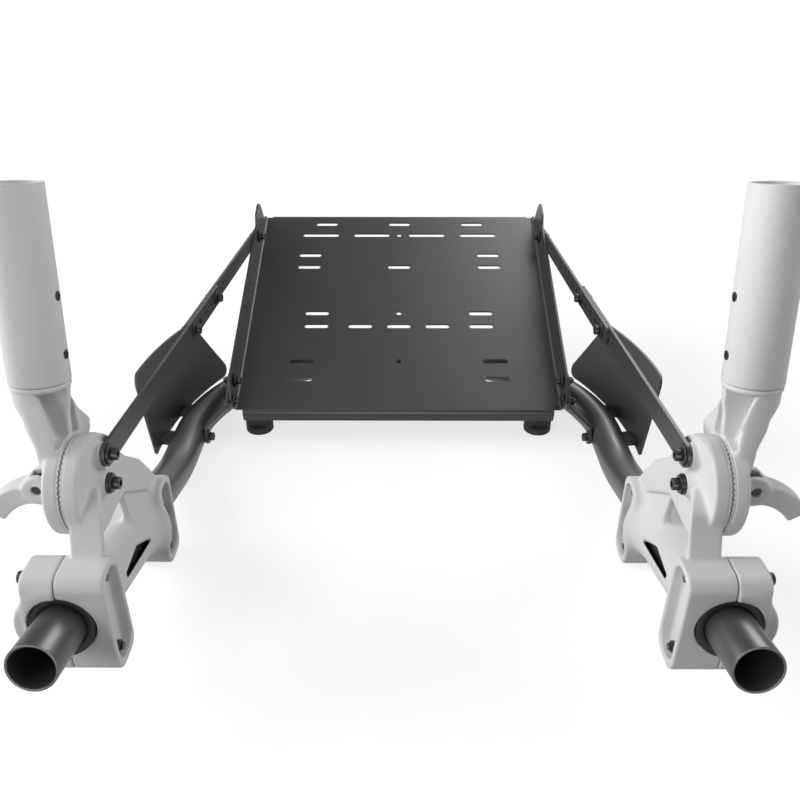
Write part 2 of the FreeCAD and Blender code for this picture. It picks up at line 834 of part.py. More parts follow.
def pivot_bolt():
    """Tension bolt on the hinge axis: stacked washers and head inside, eye for the cam lever outside."""
    pin_x = lever_pin_place()
    seat = disc_inner_x - pivot_boss_height - seat_gap
    head_face = seat - pivot_stack - washer_sheet - head_height
    shank = pin_x - seat
    steps = [(head_height, head_radius), (washer_sheet, washer_radius - 1.0), (pivot_stack, washer_radius)]
    stem = turned(point(head_face, hinge_y, hinge_z), X_AXIS, steps + [(shank, pivot_radius)])
    eye_width = fork_slot - 2 * eye_side
    eye = rod(point(pin_x, hinge_y - 0.5 * eye_width, hinge_z), Y_AXIS, eye_radius, eye_width)
    socket = hinge_rod(head_face - 1, head_face + socket_depth, socket_radius)
    pin_start = point(pin_x, hinge_y - lever_width, hinge_z)
    pin_hole = rod(pin_start, Y_AXIS, lever_pin_radius + pivot_clearance, 2 * lever_width)
    return stem.fuse(eye).cut([socket, pin_hole])


def cam_seat():
    """Flat washer that the cam presses on."""
    start = outer_disc_x + seat_gap
    ring = hinge_rod(start, start + cam_washer, cam_seat_radius)
    return ring.cut(hinge_rod(start - 1, start + cam_washer + 1, pivot_radius + pivot_clearance))


def clamp_lever():
    """Forked cam with a curved handle that leaves the hinge outwards and bends down."""
    pin_x = lever_pin_place()
    half = 0.5 * lever_width
    hub = rod(point(pin_x, hinge_y - half, hinge_z), Y_AXIS, cam_radius, lever_width)
    centre = point(pin_x, hinge_y, hinge_z - lever_arc)
    outer = lever_arc + 0.5 * lever_thickness
    inner = lever_arc - 0.5 * lever_thickness
    sweep = math.radians(lever_sweep)

    def on_arc(radius, angle):
        return point(centre.x + radius * math.sin(angle), hinge_y - half, centre.z + radius * math.cos(angle))

    tip = Part.Arc(on_arc(outer, sweep), on_arc(lever_arc, sweep + 0.5 * lever_thickness / lever_arc),
                   on_arc(inner, sweep))
    edges = [
        Part.Arc(on_arc(outer, 0), on_arc(outer, 0.5 * sweep), on_arc(outer, sweep)).toShape(),
        tip.toShape(),
        Part.Arc(on_arc(inner, sweep), on_arc(inner, 0.5 * sweep), on_arc(inner, 0)).toShape(),
        Part.makeLine(on_arc(inner, 0), on_arc(outer, 0)),
    ]
    handle = Part.Face(Part.Wire(edges)).extrude(point(0, lever_width, 0))
    body = fused([hub, handle])
    slot = box(pin_x - 2 * cam_radius, pin_x + cam_radius + 2.0, hinge_y - 0.5 * fork_slot,
               hinge_y + 0.5 * fork_slot, hinge_z - 2 * cam_radius, hinge_z + 2 * cam_radius)
    pin = rod(point(pin_x, hinge_y - half, hinge_z), Y_AXIS, lever_pin_radius, lever_width)
    return fused([body.cut(slot), pin])


def strut_ends(side_offset):
    """Ends of a strut bar's middle line on the right side, shifted by side_offset along X."""
    boss_y, boss_z = strut_boss_place()
    near_x = disc_inner_x - strut_boss_height - 0.5 * strut_sheet - 2 * seat_gap
    height = flange_bolt_height(strut_far_s)
    far = plate_point(0, strut_far_s, height)
    far_x = flange_outer_x(height + 0.5 * strut_width) + seat_gap + 0.5 * strut_sheet
    near = point(near_x + side_offset[0], boss_y, boss_z)
    return near, point(far_x + side_offset[1], far.y, far.z)


def strut_bar(near, far, shares, hole_shares):
    """Flat bar with round ends along part of the line from near to far, drilled at hole_shares."""
    way = far - near
    length = way.Length
    along = FreeCAD.Vector(way).normalize()
    across = along.cross(Z_AXIS).normalize()
    up = across.cross(along).normalize()
    half = 0.5 * strut_width
    start, stop = shares[0] * length, shares[1] * length

    def place(a, b):
        return near + along * a + up * b - across * (0.5 * strut_sheet)

    corners = [(start - half, -half), (stop + half, -half), (stop + half, half), (start - half, half)]
    bar = prism([(a, b, half - 0.01) for a, b in corners], place, across * strut_sheet)
    holes = []
    for share in hole_shares:
        spot = near + along * (share * length) - across * 10
        holes.append(rod(spot, across, 0.5 * strut_hole, 20))
    return bar.cut(holes)


def strut_set(upper_outside):
    """Both bars and the screws of one strut on the right side. The upper bar lies in or out of the lower."""
    step = strut_sheet + seat_gap
    if not upper_outside:
        step = -step
    lower_near, lower_far = strut_ends((0.0, -step))
    upper_near, upper_far = strut_ends((step, 0.0))
    length = (lower_far - lower_near).Length
    pitch = strut_hole_pitch / length
    first, last = strut_joints
    rows = [first + index * (last - first) / 4 for index in range(5)]
    lower_holes = [0.0] + rows
    upper_holes = rows + [last + pitch * (index + 1) for index in range(3)] + [1.0]
    lower = strut_bar(lower_near, lower_far, (0.0, last + strut_tail), lower_holes)
    upper = strut_bar(upper_near, upper_far, (first - strut_tail, 1.0), upper_holes)
    across = (lower_far - lower_near).cross(Z_AXIS).normalize()
    screws = []
    for share in strut_joints:
        mid = lower_near + (lower_far - lower_near) * share
        other = upper_near + (upper_far - upper_near) * share
        inner = mid if mid.x < other.x else other
        grip = 2 * strut_sheet + seat_gap
        screws.append(bolt(inner - across * (0.5 * strut_sheet), across, grip))
    inner_face = lower_near - X_AXIS * (0.5 * strut_sheet + 0.5 * seat_gap)
    screws.append(bolt(inner_face, X_AXIS, strut_sheet + screw_bite, nut=False))
    height = flange_bolt_height(strut_far_s)
    inside = plate_point(flange_inner_x(height - washer_radius), strut_far_s, height)
    grip = upper_far.x + 0.5 * strut_sheet + seat_gap - inside.x
    screws.append(bolt(inside, X_AXIS, grip))
    return lower, upper, Part.makeCompound(screws)


def link_points():
    """Screw places of a link on the right side: on the tube, then two on the flange."""
    tube_bolt = point(0, link_tube_y, tube_radius)
    flange = [plate_point(0, s, flange_bolt_height(s)) for s in link_bolt_s]
    return tube_bolt, flange[0], flange[1]


def link_plane_x():
    return flange_outer_x(flange_hole_height + 0.5 * link_width) + seat_gap


def link_strap():
    """Dogleg strap: flat on the flange, joggled outwards to lie on the inner side of the floor tube."""
    tube_bolt, first, second = link_points()
    half = 0.5 * link_width
    top_x = link_plane_x()
    low_x = base_x - tube_radius - seat_gap - link_sheet
    way = first - tube_bolt
    reach = way.Length
    along = FreeCAD.Vector(way).normalize()
    across = along.cross(X_AXIS).normalize()
    run = link_run
    ease = link_sheet * math.tan(0.5 * math.atan2(low_x - top_x, reach - 2 * run))
    outline = [
        (0, low_x), (run, low_x), (reach - run, top_x), (reach, top_x),
        (reach, top_x + link_sheet), (reach - run + ease, top_x + link_sheet),
        (run + ease, low_x + link_sheet), (0, low_x + link_sheet),
    ]

    def place(a, x):
        spot = tube_bolt + along * a - across * half
        return point(x, spot.y, spot.z)

    joggle = prism([(a, x, 0) for a, x in outline], place, across * link_width)
    low_end = rod(point(low_x, tube_bolt.y, tube_bolt.z), X_AXIS, half, link_sheet)
    ends = [rod(point(top_x, spot.y, spot.z), X_AXIS, half, link_sheet) for spot in (first, second)]
    upper_way = (second - first).normalize()
    side = upper_way.cross(X_AXIS).normalize() * half
    corners = [first - side, second - side, second + side, first + side]
    upper = prism([(c.y, c.z, 0) for c in corners], in_yz(top_x), point(link_sheet, 0, 0))
    strap = fused([joggle, low_end, upper] + ends)
    holes = []
    for spot in (tube_bolt, first, second):
        holes.append(rod(point(0, spot.y, spot.z), X_AXIS, screw_radius + hole_clearance, 2 * base_x))
    return strap.cut(holes)


def link_screws():
    tube_bolt, first, second = link_points()
    low_x = base_x - tube_radius - seat_gap - link_sheet
    screws = [bolt(point(low_x, tube_bolt.y, tube_bolt.z), X_AXIS, link_sheet + screw_bite, nut=False)]
    for s, spot in zip(link_bolt_s, (first, second)):
        inside = flange_inner_x(flange_bolt_height(s) - washer_radius)
        grip = link_plane_x() + link_sheet - inside
        screws.append(bolt(point(inside, spot.y, spot.z), X_AXIS, grip))
    return Part.makeCompound(screws)


def clamp_screws():
    """Two screws through each clamp, heads on the outer caps and nuts in the inner pockets."""
    screws = []
    for y, z, top, wall, radius in clamp_places():
        for level in clamp_screw_levels(z, top):
            start = point(base_x + ear_reach, y, level)
            grip = ear_reach + wall - pocket_depth
            screws.append(bolt(start, point(-1, 0, 0), grip))
    return Part.makeCompound(screws)


def guard_frame(shape):
    """Moves a guard from its own frame (along, outwards, up) to the right side of the floor tube."""
    moved = shape.copy()
    moved.rotate(ORIGIN, Z_AXIS, 90 + guard_toe_in)
    moved.translate(point(guard_base[0], guard_base[1], tube_radius))
    return moved


def side_guard():
    """Curved upright sheet outside the tube bend, held off the tube by two welded tabs."""
    back = guard_plan_radius
    centre = point(0, back - guard_bulge, -guard_height)
    shell = rod(centre, Z_AXIS, back, 3 * guard_height)
    shell = shell.cut(rod(centre, Z_AXIS, back - guard_sheet, 3 * guard_height))
    shell.rotate(ORIGIN, X_AXIS, guard_lean)
    low = 0.5 * tab_sheet
    outline = [
        (-guard_bottom_half, -low, 2),
        (guard_bottom_half, -low, 12),
        (guard_top[1], guard_height, guard_round),
        (guard_top[0], guard_height, guard_round),
    ]
    wall = shell.common(prism(outline, in_xz(-3 * guard_height), point(0, 4 * guard_height, 0)))
    pieces = [guard_frame(wall)]
    keep_out = pipe(front_path(), tube_radius + seat_gap, None)
    inside = rod(centre, Z_AXIS, back - 0.5 * guard_sheet, 3 * guard_height)
    inside.rotate(ORIGIN, X_AXIS, guard_lean)
    for place in tab_places:
        tab = box(place - 0.5 * tab_width, place + 0.5 * tab_width, -guard_bulge, 4 * tube_radius, -low, low)
        tab = guard_frame(tab.common(inside)).cut(keep_out)
        pieces.append(max(tab.Solids, key=lambda solid: solid.CenterOfMass.x))
    return fused(pieces)


def both_sides(name, shape):
    return {name + "_right": shape, name + "_left": mirrored(shape)}


def build():
    parts = {"pedal_plate": pedal_plate(), "front_tube": front_tube()}
    parts["plate_foot_right"] = plate_foot(1)
    parts["plate_foot_left"] = plate_foot(-1)
    parts.update(both_sides("rear_tube", rear_tube()))
    parts.update(both_sides("rear_bushing", rear_bushing()))
    parts.update(both_sides("side_casting", side_casting()))
    for name, place in zip(("front_clamp_cap", "rear_clamp_cap"), clamp_places()):
        y, z, top, wall, radius = place
        parts.update(both_sides(name, clamp_cap(y, z, top, radius)))
    parts.update(both_sides("clamp_screws", clamp_screws()))
    parts.update(both_sides("pivot_bolt", pivot_bolt()))
    parts.update(both_sides("cam_seat", cam_seat()))
    parts.update(both_sides("clamp_lever", clamp_lever()))
    parts.update(both_sides("hinge_arm", hinge_arm()))
    parts.update(both_sides("upright_tube", upright_tube()))
    parts.update(both_sides("upright_screws", upright_screws()))
    parts.update(both_sides("link_strap", link_strap()))
    parts.update(both_sides("link_screws", link_screws()))
    parts.update(both_sides("side_guard", side_guard()))
    for side, upper_outside in (("right", False), ("left", True)):
        lower, upper, screws = strut_set(upper_outside)
        for name, shape in (("strut_lower", lower), ("strut_upper", upper), ("strut_screws", screws)):
            parts[name + "_" + side] = shape if side == "right" else mirrored(shape)
    return parts


os.makedirs("parts", exist_ok=True)
for node, shape in build().items():
    shape.translate(point(0, origin_shift, 0))
    shape.exportStep("parts/" + node + ".step")
    print(node, len(shape.Solids), shape.isValid(), round(shape.Volume / 1000.0, 2))
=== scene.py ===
"""Looks of the front frame of a sim racing cockpit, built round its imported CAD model.

Sizes are in millimetres in the maker's own frame: +X to the driver's right, +Y towards the pedals from the
near edge of the pedal plate, +Z up from the floor. A finished mesh is moved to the row frame and scaled to
metres.
"""

import json
import logging
import math
from collections.abc import Iterable, Sequence
from dataclasses import dataclass
from enum import Enum

import bmesh
import bpy
import numpy as np
from mathutils import Matrix, Vector

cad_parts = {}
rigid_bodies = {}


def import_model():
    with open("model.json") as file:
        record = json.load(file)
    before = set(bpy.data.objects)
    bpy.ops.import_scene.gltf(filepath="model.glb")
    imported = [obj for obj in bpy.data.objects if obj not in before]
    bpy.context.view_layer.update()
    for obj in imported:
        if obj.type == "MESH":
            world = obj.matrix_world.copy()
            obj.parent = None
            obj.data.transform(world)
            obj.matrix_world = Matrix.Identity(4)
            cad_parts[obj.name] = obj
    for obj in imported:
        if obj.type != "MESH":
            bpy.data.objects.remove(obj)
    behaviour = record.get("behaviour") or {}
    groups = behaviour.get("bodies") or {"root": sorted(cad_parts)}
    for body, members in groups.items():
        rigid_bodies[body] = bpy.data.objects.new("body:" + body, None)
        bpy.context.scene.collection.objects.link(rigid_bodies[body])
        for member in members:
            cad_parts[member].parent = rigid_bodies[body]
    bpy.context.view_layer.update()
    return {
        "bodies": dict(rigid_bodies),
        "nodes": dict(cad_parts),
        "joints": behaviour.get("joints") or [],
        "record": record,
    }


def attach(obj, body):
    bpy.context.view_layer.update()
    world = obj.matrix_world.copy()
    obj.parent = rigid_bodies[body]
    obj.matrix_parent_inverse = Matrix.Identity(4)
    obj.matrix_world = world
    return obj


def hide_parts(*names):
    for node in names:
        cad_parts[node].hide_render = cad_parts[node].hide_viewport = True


LOG = logging.getLogger("cockpit")
MM = 0.001
SHIFT_Y = 50.73713
WHITE = (1.0, 1.0, 1.0, 1.0)
DUST_COLOUR = (0.42, 0.42, 0.41, 1.0)
TUBE_SHARP = 50.0
BOLT_SHARP = 40.0
TOOTH_SHARP = 20.0
SCREW_SHARP = 35.0
Corner = tuple[float, float, float]
Spot = tuple[float, float, float]
Ring = tuple[float, float, int]

HEAD_RINGS: tuple[Ring, ...] = (
    (0.0, 8.1, 0), (0.35, 8.5, 0), (1.25, 8.5, 0), (1.6, 8.1, 0), (1.6, 5.2, 0), (1.75, 4.9, 0), (2.0, 5.0, 0),
    (6.3, 5.0, 0), (6.85, 4.75, 0), (7.1, 4.3, 0), (7.1, 2.65, 6), (6.85, 2.3, 6), (4.1, 2.3, 6),
)
WASHER_RINGS = 4
BUTTON_RINGS: tuple[Ring, ...] = (
    (-2.0, 3.7, 0), (-0.3, 3.9, 0), (0.2, 3.6, 0), (0.5, 2.8, 0), (0.55, 1.9, 6), (0.4, 1.6, 6), (-1.4, 1.6, 6),
)
NUT_RINGS: tuple[Ring, ...] = (
    (0.0, 4.0, 0), (0.5, 4.3, 6), (4.0, 4.3, 6), (4.5, 4.0, 0), (4.5, 3.3, 0), (4.0, 2.8, 0),
)


class Side(Enum):
    """The two mirrored sides of the frame."""

    RIGHT = 1
    LEFT = -1

    @property
    def label(self) -> str:
        """Ending of the node names of this side."""
        return self.name.lower()


class Body(Enum):
    """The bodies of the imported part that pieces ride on."""

    FRAME = "frame"
    UPRIGHT = "upright"
    LEVER = "lever"

    def on(self, side: Side) -> str:
        """Name of the body, with its side where it has one."""
        return self.value if self is Body.FRAME else f"{self.value}_{side.label}"


@dataclass
class Shape:
    """A mesh on the way to becoming a piece: points in the maker's frame and faces as point numbers."""

    points: np.ndarray
    faces: list[tuple[int, ...]]

    def on(self, side: Side) -> "Shape":
        """This right-hand mesh as it is on a side, mirrored on the left with its faces turned outwards again."""
        if side is Side.RIGHT:
            return self
        return Shape(self.points * np.array([-1.0, 1.0, 1.0]), [face[::-1] for face in self.faces])

    def joined(self, *others: "Shape") -> "Shape":
        """One mesh from this one and others, which stay separate shells."""
        points, faces, first = [self.points], list(self.faces), len(self.points)
        for other in others:
            faces += [tuple(number + first for number in face) for face in other.faces]
            points.append(other.points)
            first += len(other.points)
        return Shape(np.concatenate(points), faces)

    def moved(self, matrix: Matrix) -> "Shape":
        """This mesh turned and moved by a 4 by 4 matrix."""
        turn = np.array(matrix.to_3x3())
        return Shape(self.points @ turn.T + np.array(matrix.translation), self.faces)


def to_row(points: np.ndarray) -> np.ndarray:
    """Points of the maker's frame in the row frame, in metres."""
    return (points + np.array([0.0, SHIFT_Y, 0.0])) * MM


def raw_mesh(name: str, points: np.ndarray, faces: Sequence[tuple[int, ...]] = ()) -> bpy.types.Mesh:
    """New Blender mesh from points in metres and faces."""
    mesh = bpy.data.meshes.new(name)
    mesh.from_pydata(points.tolist(), [], list(faces))
    return mesh


def add_object(name: str, mesh: bpy.types.Mesh) -> bpy.types.Object:
    """New object in the scene that holds the mesh."""
    thing = bpy.data.objects.new(name, mesh)
    bpy.context.scene.collection.objects.link(thing)
    return thing


def ring_faces(near: int, far: int, count: int, flip: bool) -> list[tuple[int, ...]]:
    """Four-sided faces between two rings of points.

    Args:
        near: Number of the first ring's first point.
        far: Number of the second ring's first point.
        count: Points in a ring.
        flip: Whether the faces point inwards.

    Returns:
        The faces.
    """
    faces = []
    for step in range(count):
        after = (step + 1) % count
        face = (near + step, near + after, far + after, far + step)
        faces.append(face[::-1] if flip else face)
    return faces


def lathe(start: Spot, axis: Spot, profile: Sequence[tuple[float, float]], count: int) -> Shape:
    """Turned mesh from a closed profile.

    Args:
        start: Point on the axis where the profile's lengths begin.
        axis: Direction of the axis.
        profile: Outline as (length along the axis, radius), anticlockwise seen with the axis to the right.
        count: Number of steps round the axis.

    Returns:
        The turned mesh, pointing outwards.
    """
    way = Vector(axis).normalized()
    side = way.orthogonal().normalized()
    other = way.cross(side)
    points, faces, rows = [], [], len(profile)
    for step in range(count):
        turn = 2 * math.pi * step / count
        out = side * math.cos(turn) + other * math.sin(turn)
        points += [tuple(Vector(start) + way * length + out * radius) for length, radius in profile]
        here, there = step * rows, (step + 1) % count * rows
        for row in range(rows):
            after = (row + 1) % rows
            faces.append((here + row, there + row, there + after, here + after))
    return Shape(np.array(points), faces)


def tube_profile(length: float, outer: float, inner: float, edge: float) -> list[tuple[float, float]]:
    """Closed profile for lathe of a hollow tube whose end edges are eased.

    Args:
        length: Length of the tube.
        outer: Outer radius.
        inner: Inner radius.
        edge: Size of the eased edges.

    Returns:
        The profile.
    """
    soft = 0.3 * edge
    near = [(edge, inner), (soft, inner + soft), (0.0, inner + edge), (0.0, outer - edge), (soft, outer - soft)]
    far = [(length - edge, outer), (length - soft, outer - soft), (length, outer - edge)]
    back = [(length, inner + edge), (length - soft, inner + soft), (length - edge, inner)]
    return near + [(edge, outer)] + far + back


def sweep(path: Sequence[Vector], outer: float, inner: float, count: int) -> Shape:
    """Hollow round tube along a path that bends only a little at each point.

    Args:
        path: Points of the tube's axis.
        outer: Outer radius.
        inner: Inner radius.
        count: Number of steps round the tube.

    Returns:
        The tube with both skins and ringed ends.
    """
    last = len(path) - 1
    ways = [(path[min(i + 1, last)] - path[max(i - 1, 0)]).normalized() for i in range(len(path))]
    side = ways[0].orthogonal().normalized()
    points, rings, faces = [], [], []
    for spot, way in zip(path, ways):
        side = (side - way * side.dot(way)).normalized()
        other = way.cross(side)
        for radius in (outer, inner):
            rings.append(len(points))
            for step in range(count):
                turn = 2 * math.pi * step / count
                points.append(tuple(spot + (side * math.cos(turn) + other * math.sin(turn)) * radius))
    for first in range(0, len(rings) - 2, 2):
        for skin, flip in ((0, False), (1, True)):
            faces += ring_faces(rings[first + skin], rings[first + 2 + skin], count, flip)
    faces += ring_faces(rings[0], rings[1], count, True)
    faces += ring_faces(rings[-2], rings[-1], count, False)
    return Shape(np.array(points), faces)


def stacked(rings: Sequence[Ring], count: int = 48) -> Shape:
    """Closed mesh from a stack of rings along Z, each round or many-sided.

    Args:
        rings: Height, radius (half the width across flats if many-sided) and number of sides, 0 for a circle.
        count: Points in each ring.

    Returns:
        The mesh, closed flat at both ends of the stack.
    """
    points, faces = [], []
    for height, radius, sides in rings:
        pitch = 2 * math.pi / sides if sides else 1.0
        for step in range(count):
            turn = 2 * math.pi * step / count
            reach = radius / math.cos(turn % pitch - 0.5 * pitch) if sides else radius
            points.append((reach * math.cos(turn), reach * math.sin(turn), height))
    for row in range(len(rings) - 1):
        faces += ring_faces(row * count, (row + 1) * count, count, False)
    last = (len(rings) - 1) * count
    faces += [tuple(reversed(range(count))), tuple(range(last, last + count))]
    return Shape(np.array(points), faces)


@dataclass(frozen=True)
class Block:
    """Regular grid of sample points that a cast shape is worked out on."""

    low: Spot
    high: Spot
    step: float

    def axes(self) -> tuple[np.ndarray, np.ndarray, np.ndarray]:
        """X, Y and Z of the samples, each ready to be combined with the others."""
        ends = zip(self.low, self.high)
        lines = [np.arange(a, b + self.step, self.step, dtype=np.float32) for a, b in ends]
        return lines[0][:, None, None], lines[1][None, :, None], lines[2][None, None, :]

    def skin(self, field: np.ndarray) -> Shape:
        """Mesh of the surface where a field is zero, with one point in each cell that the surface crosses.

        Args:
            field: Distance from the surface at each sample, negative inside.

        Returns:
            The mesh, in the maker's frame.
        """
        field = np.broadcast_to(field, [len(line.ravel()) for line in self.axes()])
        cells = tuple(size - 1 for size in field.shape)
        total = np.zeros(cells + (3,), np.float32)
        hits = np.zeros(cells, np.float32)
        edges = []
        for axis in range(3):
            near = np.take(field, range(field.shape[axis] - 1), axis)
            far = np.take(field, range(1, field.shape[axis]), axis)
            spots = np.argwhere((near < 0) != (far < 0))
            a, b = near[tuple(spots.T)], far[tuple(spots.T)]
            place = spots.astype(np.float32)
            place[:, axis] += a / (a - b)
            others = [k for k in range(3) if k != axis]
            around = []
            for corner in ((-1, -1), (0, -1), (0, 0), (-1, 0)):
                cell = spots.copy()
                cell[:, others] += corner
                np.add.at(total, tuple(cell.T), place)
                np.add.at(hits, tuple(cell.T), 1)
                around.append(cell)
            edges.append((around, (a < 0) != (axis == 1)))
        numbers = np.full(cells, -1)
        used = hits > 0
        numbers[used] = np.arange(used.sum())
        points = total[used] / hits[used][:, None] * self.step + np.array(self.low)
        faces = []
        for around, outward in edges:
            quads = np.stack([numbers[tuple(cell.T)] for cell in around], axis=1)
            quads[~outward] = quads[~outward][:, ::-1]
            faces += [tuple(quad) for quad in quads.tolist()]
        return Shape(points, faces)


def slab(line: np.ndarray, low: float, high: float) -> np.ndarray:
    """Distance from the layer between two values along one axis."""
    return np.abs(line - 0.5 * (low + high)) - 0.5 * (high - low)


def rounded(across: np.ndarray, along: np.ndarray, edge: float) -> np.ndarray:
    """Distance from a prism or rod with rounded edges.

    Args:
        across: Distance from its cross-section.
        along: Distance from the layer between its ends.
        edge: Radius of its edges.

    Returns:
        The joined distance.
    """
    a, b = across + edge, along + edge
    return np.minimum(np.maximum(a, b), 0) + np.hypot(np.maximum(a, 0), np.maximum(b, 0)) - edge


def merge(a: np.ndarray, b: np.ndarray, fillet: float) -> np.ndarray:
    """Two shapes as one, with a fillet of about the given size where they meet."""
    share = np.clip(0.5 + 0.5 * (b - a) / fillet, 0, 1)
    return b + (a - b) * share - fillet * share * (1 - share)


def carve(a: np.ndarray, b: np.ndarray, ease: float) -> np.ndarray:
    """The first shape with the second taken out, its new edges eased."""
    return -merge(-a, b, ease)


def outline(corners: Sequence[Corner], steps: int = 6) -> np.ndarray:
    """Closed outline with rounded corners as a row of points.

    Args:
        corners: Corner places with their radii, (a, b, radius).
        steps: Points along each rounded corner.

    Returns:
        Array of (a, b) points.
    """
    points: list[tuple[float, float]] = []
    for index, (a, b, radius) in enumerate(corners):
        here = Vector((a, b))
        before = (Vector(corners[index - 1][:2]) - here).normalized()
        after = (Vector(corners[(index + 1) % len(corners)][:2]) - here).normalized()
        if radius <= 0:
            points.append((a, b))
            continue
        half = 0.5 * before.angle(after)
        middle = here + (before + after).normalized() * (radius / math.sin(half))
        first = here + before * (radius / math.tan(half)) - middle
        last = here + after * (radius / math.tan(half)) - middle
        for step in range(steps + 1):
            way = first.lerp(last, step / steps).normalized() * radius
            points.append(tuple(middle + way))
    return np.array(points, np.float32)


def shifted(a: float, b: float, corners: Sequence[Corner]) -> list[Corner]:
    """Corners of an outline that are given from a point."""
    return [(a + i, b + j, radius) for i, j, radius in corners]


def flat_field(u: np.ndarray, v: np.ndarray, points: np.ndarray) -> np.ndarray:
    """Distance from a flat outline, negative inside.

    Args:
        u: First coordinate of the samples.
        v: Second coordinate of the samples.
        points: The outline's points.

    Returns:
        The distance at each sample.
    """
    u, v = np.broadcast_arrays(u, v)
    nearest = np.full(u.shape, np.inf, np.float32)
    inside = np.zeros(u.shape, bool)
    for (a0, b0), (a1, b1) in zip(points, np.roll(points, -1, axis=0)):
        da, db = a1 - a0, b1 - b0
        share = np.clip(((u - a0) * da + (v - b0) * db) / max(da * da + db * db, 1e-9), 0, 1)
        nearest = np.minimum(nearest, np.hypot(u - a0 - share * da, v - b0 - share * db))
        if db != 0:
            inside ^= ((b0 > v) != (b1 > v)) & (u < da * (v - b0) / db + a0)
    return np.where(inside, -nearest, nearest)


def eased(share: np.ndarray) -> np.ndarray:
    """Smooth step from 0 to 1."""
    share = np.clip(share, 0, 1)
    return share * share * (3 - 2 * share)


def along_table(line: np.ndarray, knots: Sequence[float], values: Sequence[float]) -> np.ndarray:
    """Values that run smoothly through a short table.

    Args:
        line: Where the values are wanted.
        knots: Places of the table's rows, rising.
        values: Values of the table's rows.

    Returns:
        The values along the line.
    """
    result = np.full(line.shape, values[0], np.float32)
    for first, (low, high) in enumerate(zip(knots, knots[1:])):
        part = values[first] + (values[first + 1] - values[first]) * eased((line - low) / (high - low))
        result = np.where(line >= low, part, result)
    return result


def fill(tree: bpy.types.NodeTree, node: bpy.types.Node, links: dict[str | int, object]) -> None:
    """Links sockets to the inputs of a node, by name or number, or sets their values."""
    for key, value in links.items():
        if isinstance(value, bpy.types.NodeSocket):
            tree.links.new(value, node.inputs[key])
        else:
            node.inputs[key].default_value = value


def add_node(tree: bpy.types.NodeTree, kind: str, links: dict[str | int, object] | None = None,
             **settings: object) -> bpy.types.Node:
    """Node with its settings and inputs.

    Args:
        tree: The tree that gets it.
        kind: Type of the node.
        links: Input name or number, with the socket to link or the value to set.
        settings: Properties of the node.

    Returns:
        The new node.
    """
    node = tree.nodes.new(kind)
    for key, value in settings.items():
        setattr(node, key, value)
    fill(tree, node, links or {})
    return node


def node_group(name: str, inputs: Iterable[tuple[str, str]], outputs: Iterable[str]) -> bpy.types.NodeTree:
    """Empty shader node group with its sockets.

    Args:
        name: Name of the group.
        inputs: Name and socket type of each input.
        outputs: Names of the float outputs.

    Returns:
        The group, with its input and output nodes placed.
    """
    group = bpy.data.node_groups.new(name, "ShaderNodeTree")
    for label, kind in inputs:
        group.interface.new_socket(name=label, in_out="INPUT", socket_type=kind)
    for label in outputs:
        group.interface.new_socket(name=label, in_out="OUTPUT", socket_type="NodeSocketFloat")
    group.nodes.new("NodeGroupInput").name = "in"
    group.nodes.new("NodeGroupOutput").name = "out"
    return group


class Surface:
    """Shader node groups that several finishes share."""

    def __init__(self) -> None:
        """Builds both groups once."""
        self.coat = self._coat_group()
        self.dust = self._dust_group()

    @staticmethod
    def _coat_group() -> bpy.types.NodeTree:
        """Powder coat: fine grain in the height, broad drifts of tone and a speckle in the gloss."""
        inputs = (("Vector", "NodeSocketVector"), ("Grain Scale", "NodeSocketFloat"))
        group = node_group("powder_coat", inputs, ("Height", "Drift", "Speckle"))
        given = group.nodes["in"].outputs
        noises = (("Height", given["Grain Scale"], 3.0), ("Drift", 7.0, 4.0), ("Speckle", 2600.0, 1.0))
        for label, scale, detail in noises:
            links = {"Vector": given["Vector"], "Scale": scale, "Detail": detail}
            noise = add_node(group, "ShaderNodeTexNoise", links)
            fill(group, group.nodes["out"], {label: noise.outputs["Fac"]})
        return group

    @staticmethod
    def _dust_group() -> bpy.types.NodeTree:
        """Thin dust that settles on faces that look up, broken by noise."""
        group = node_group("settled_dust", (("Vector", "NodeSocketVector"),), ("Mask",))
        normal = add_node(group, "ShaderNodeNewGeometry").outputs["Normal"]
        up = add_node(group, "ShaderNodeSeparateXYZ", {"Vector": normal}).outputs["Z"]
        level = add_node(group, "ShaderNodeMapRange", {"Value": up, "From Min": 0.45, "From Max": 1.0})
        links = {"Vector": group.nodes["in"].outputs["Vector"], "Scale": 23.0, "Detail": 6.0}
        patches = add_node(group, "ShaderNodeTexNoise", links)
        links = {0: level.outputs["Result"], 1: patches.outputs["Fac"]}
        both = add_node(group, "ShaderNodeMath", links, operation="MULTIPLY")
        fill(group, group.nodes["out"], {"Mask": both.outputs["Value"]})
        return group


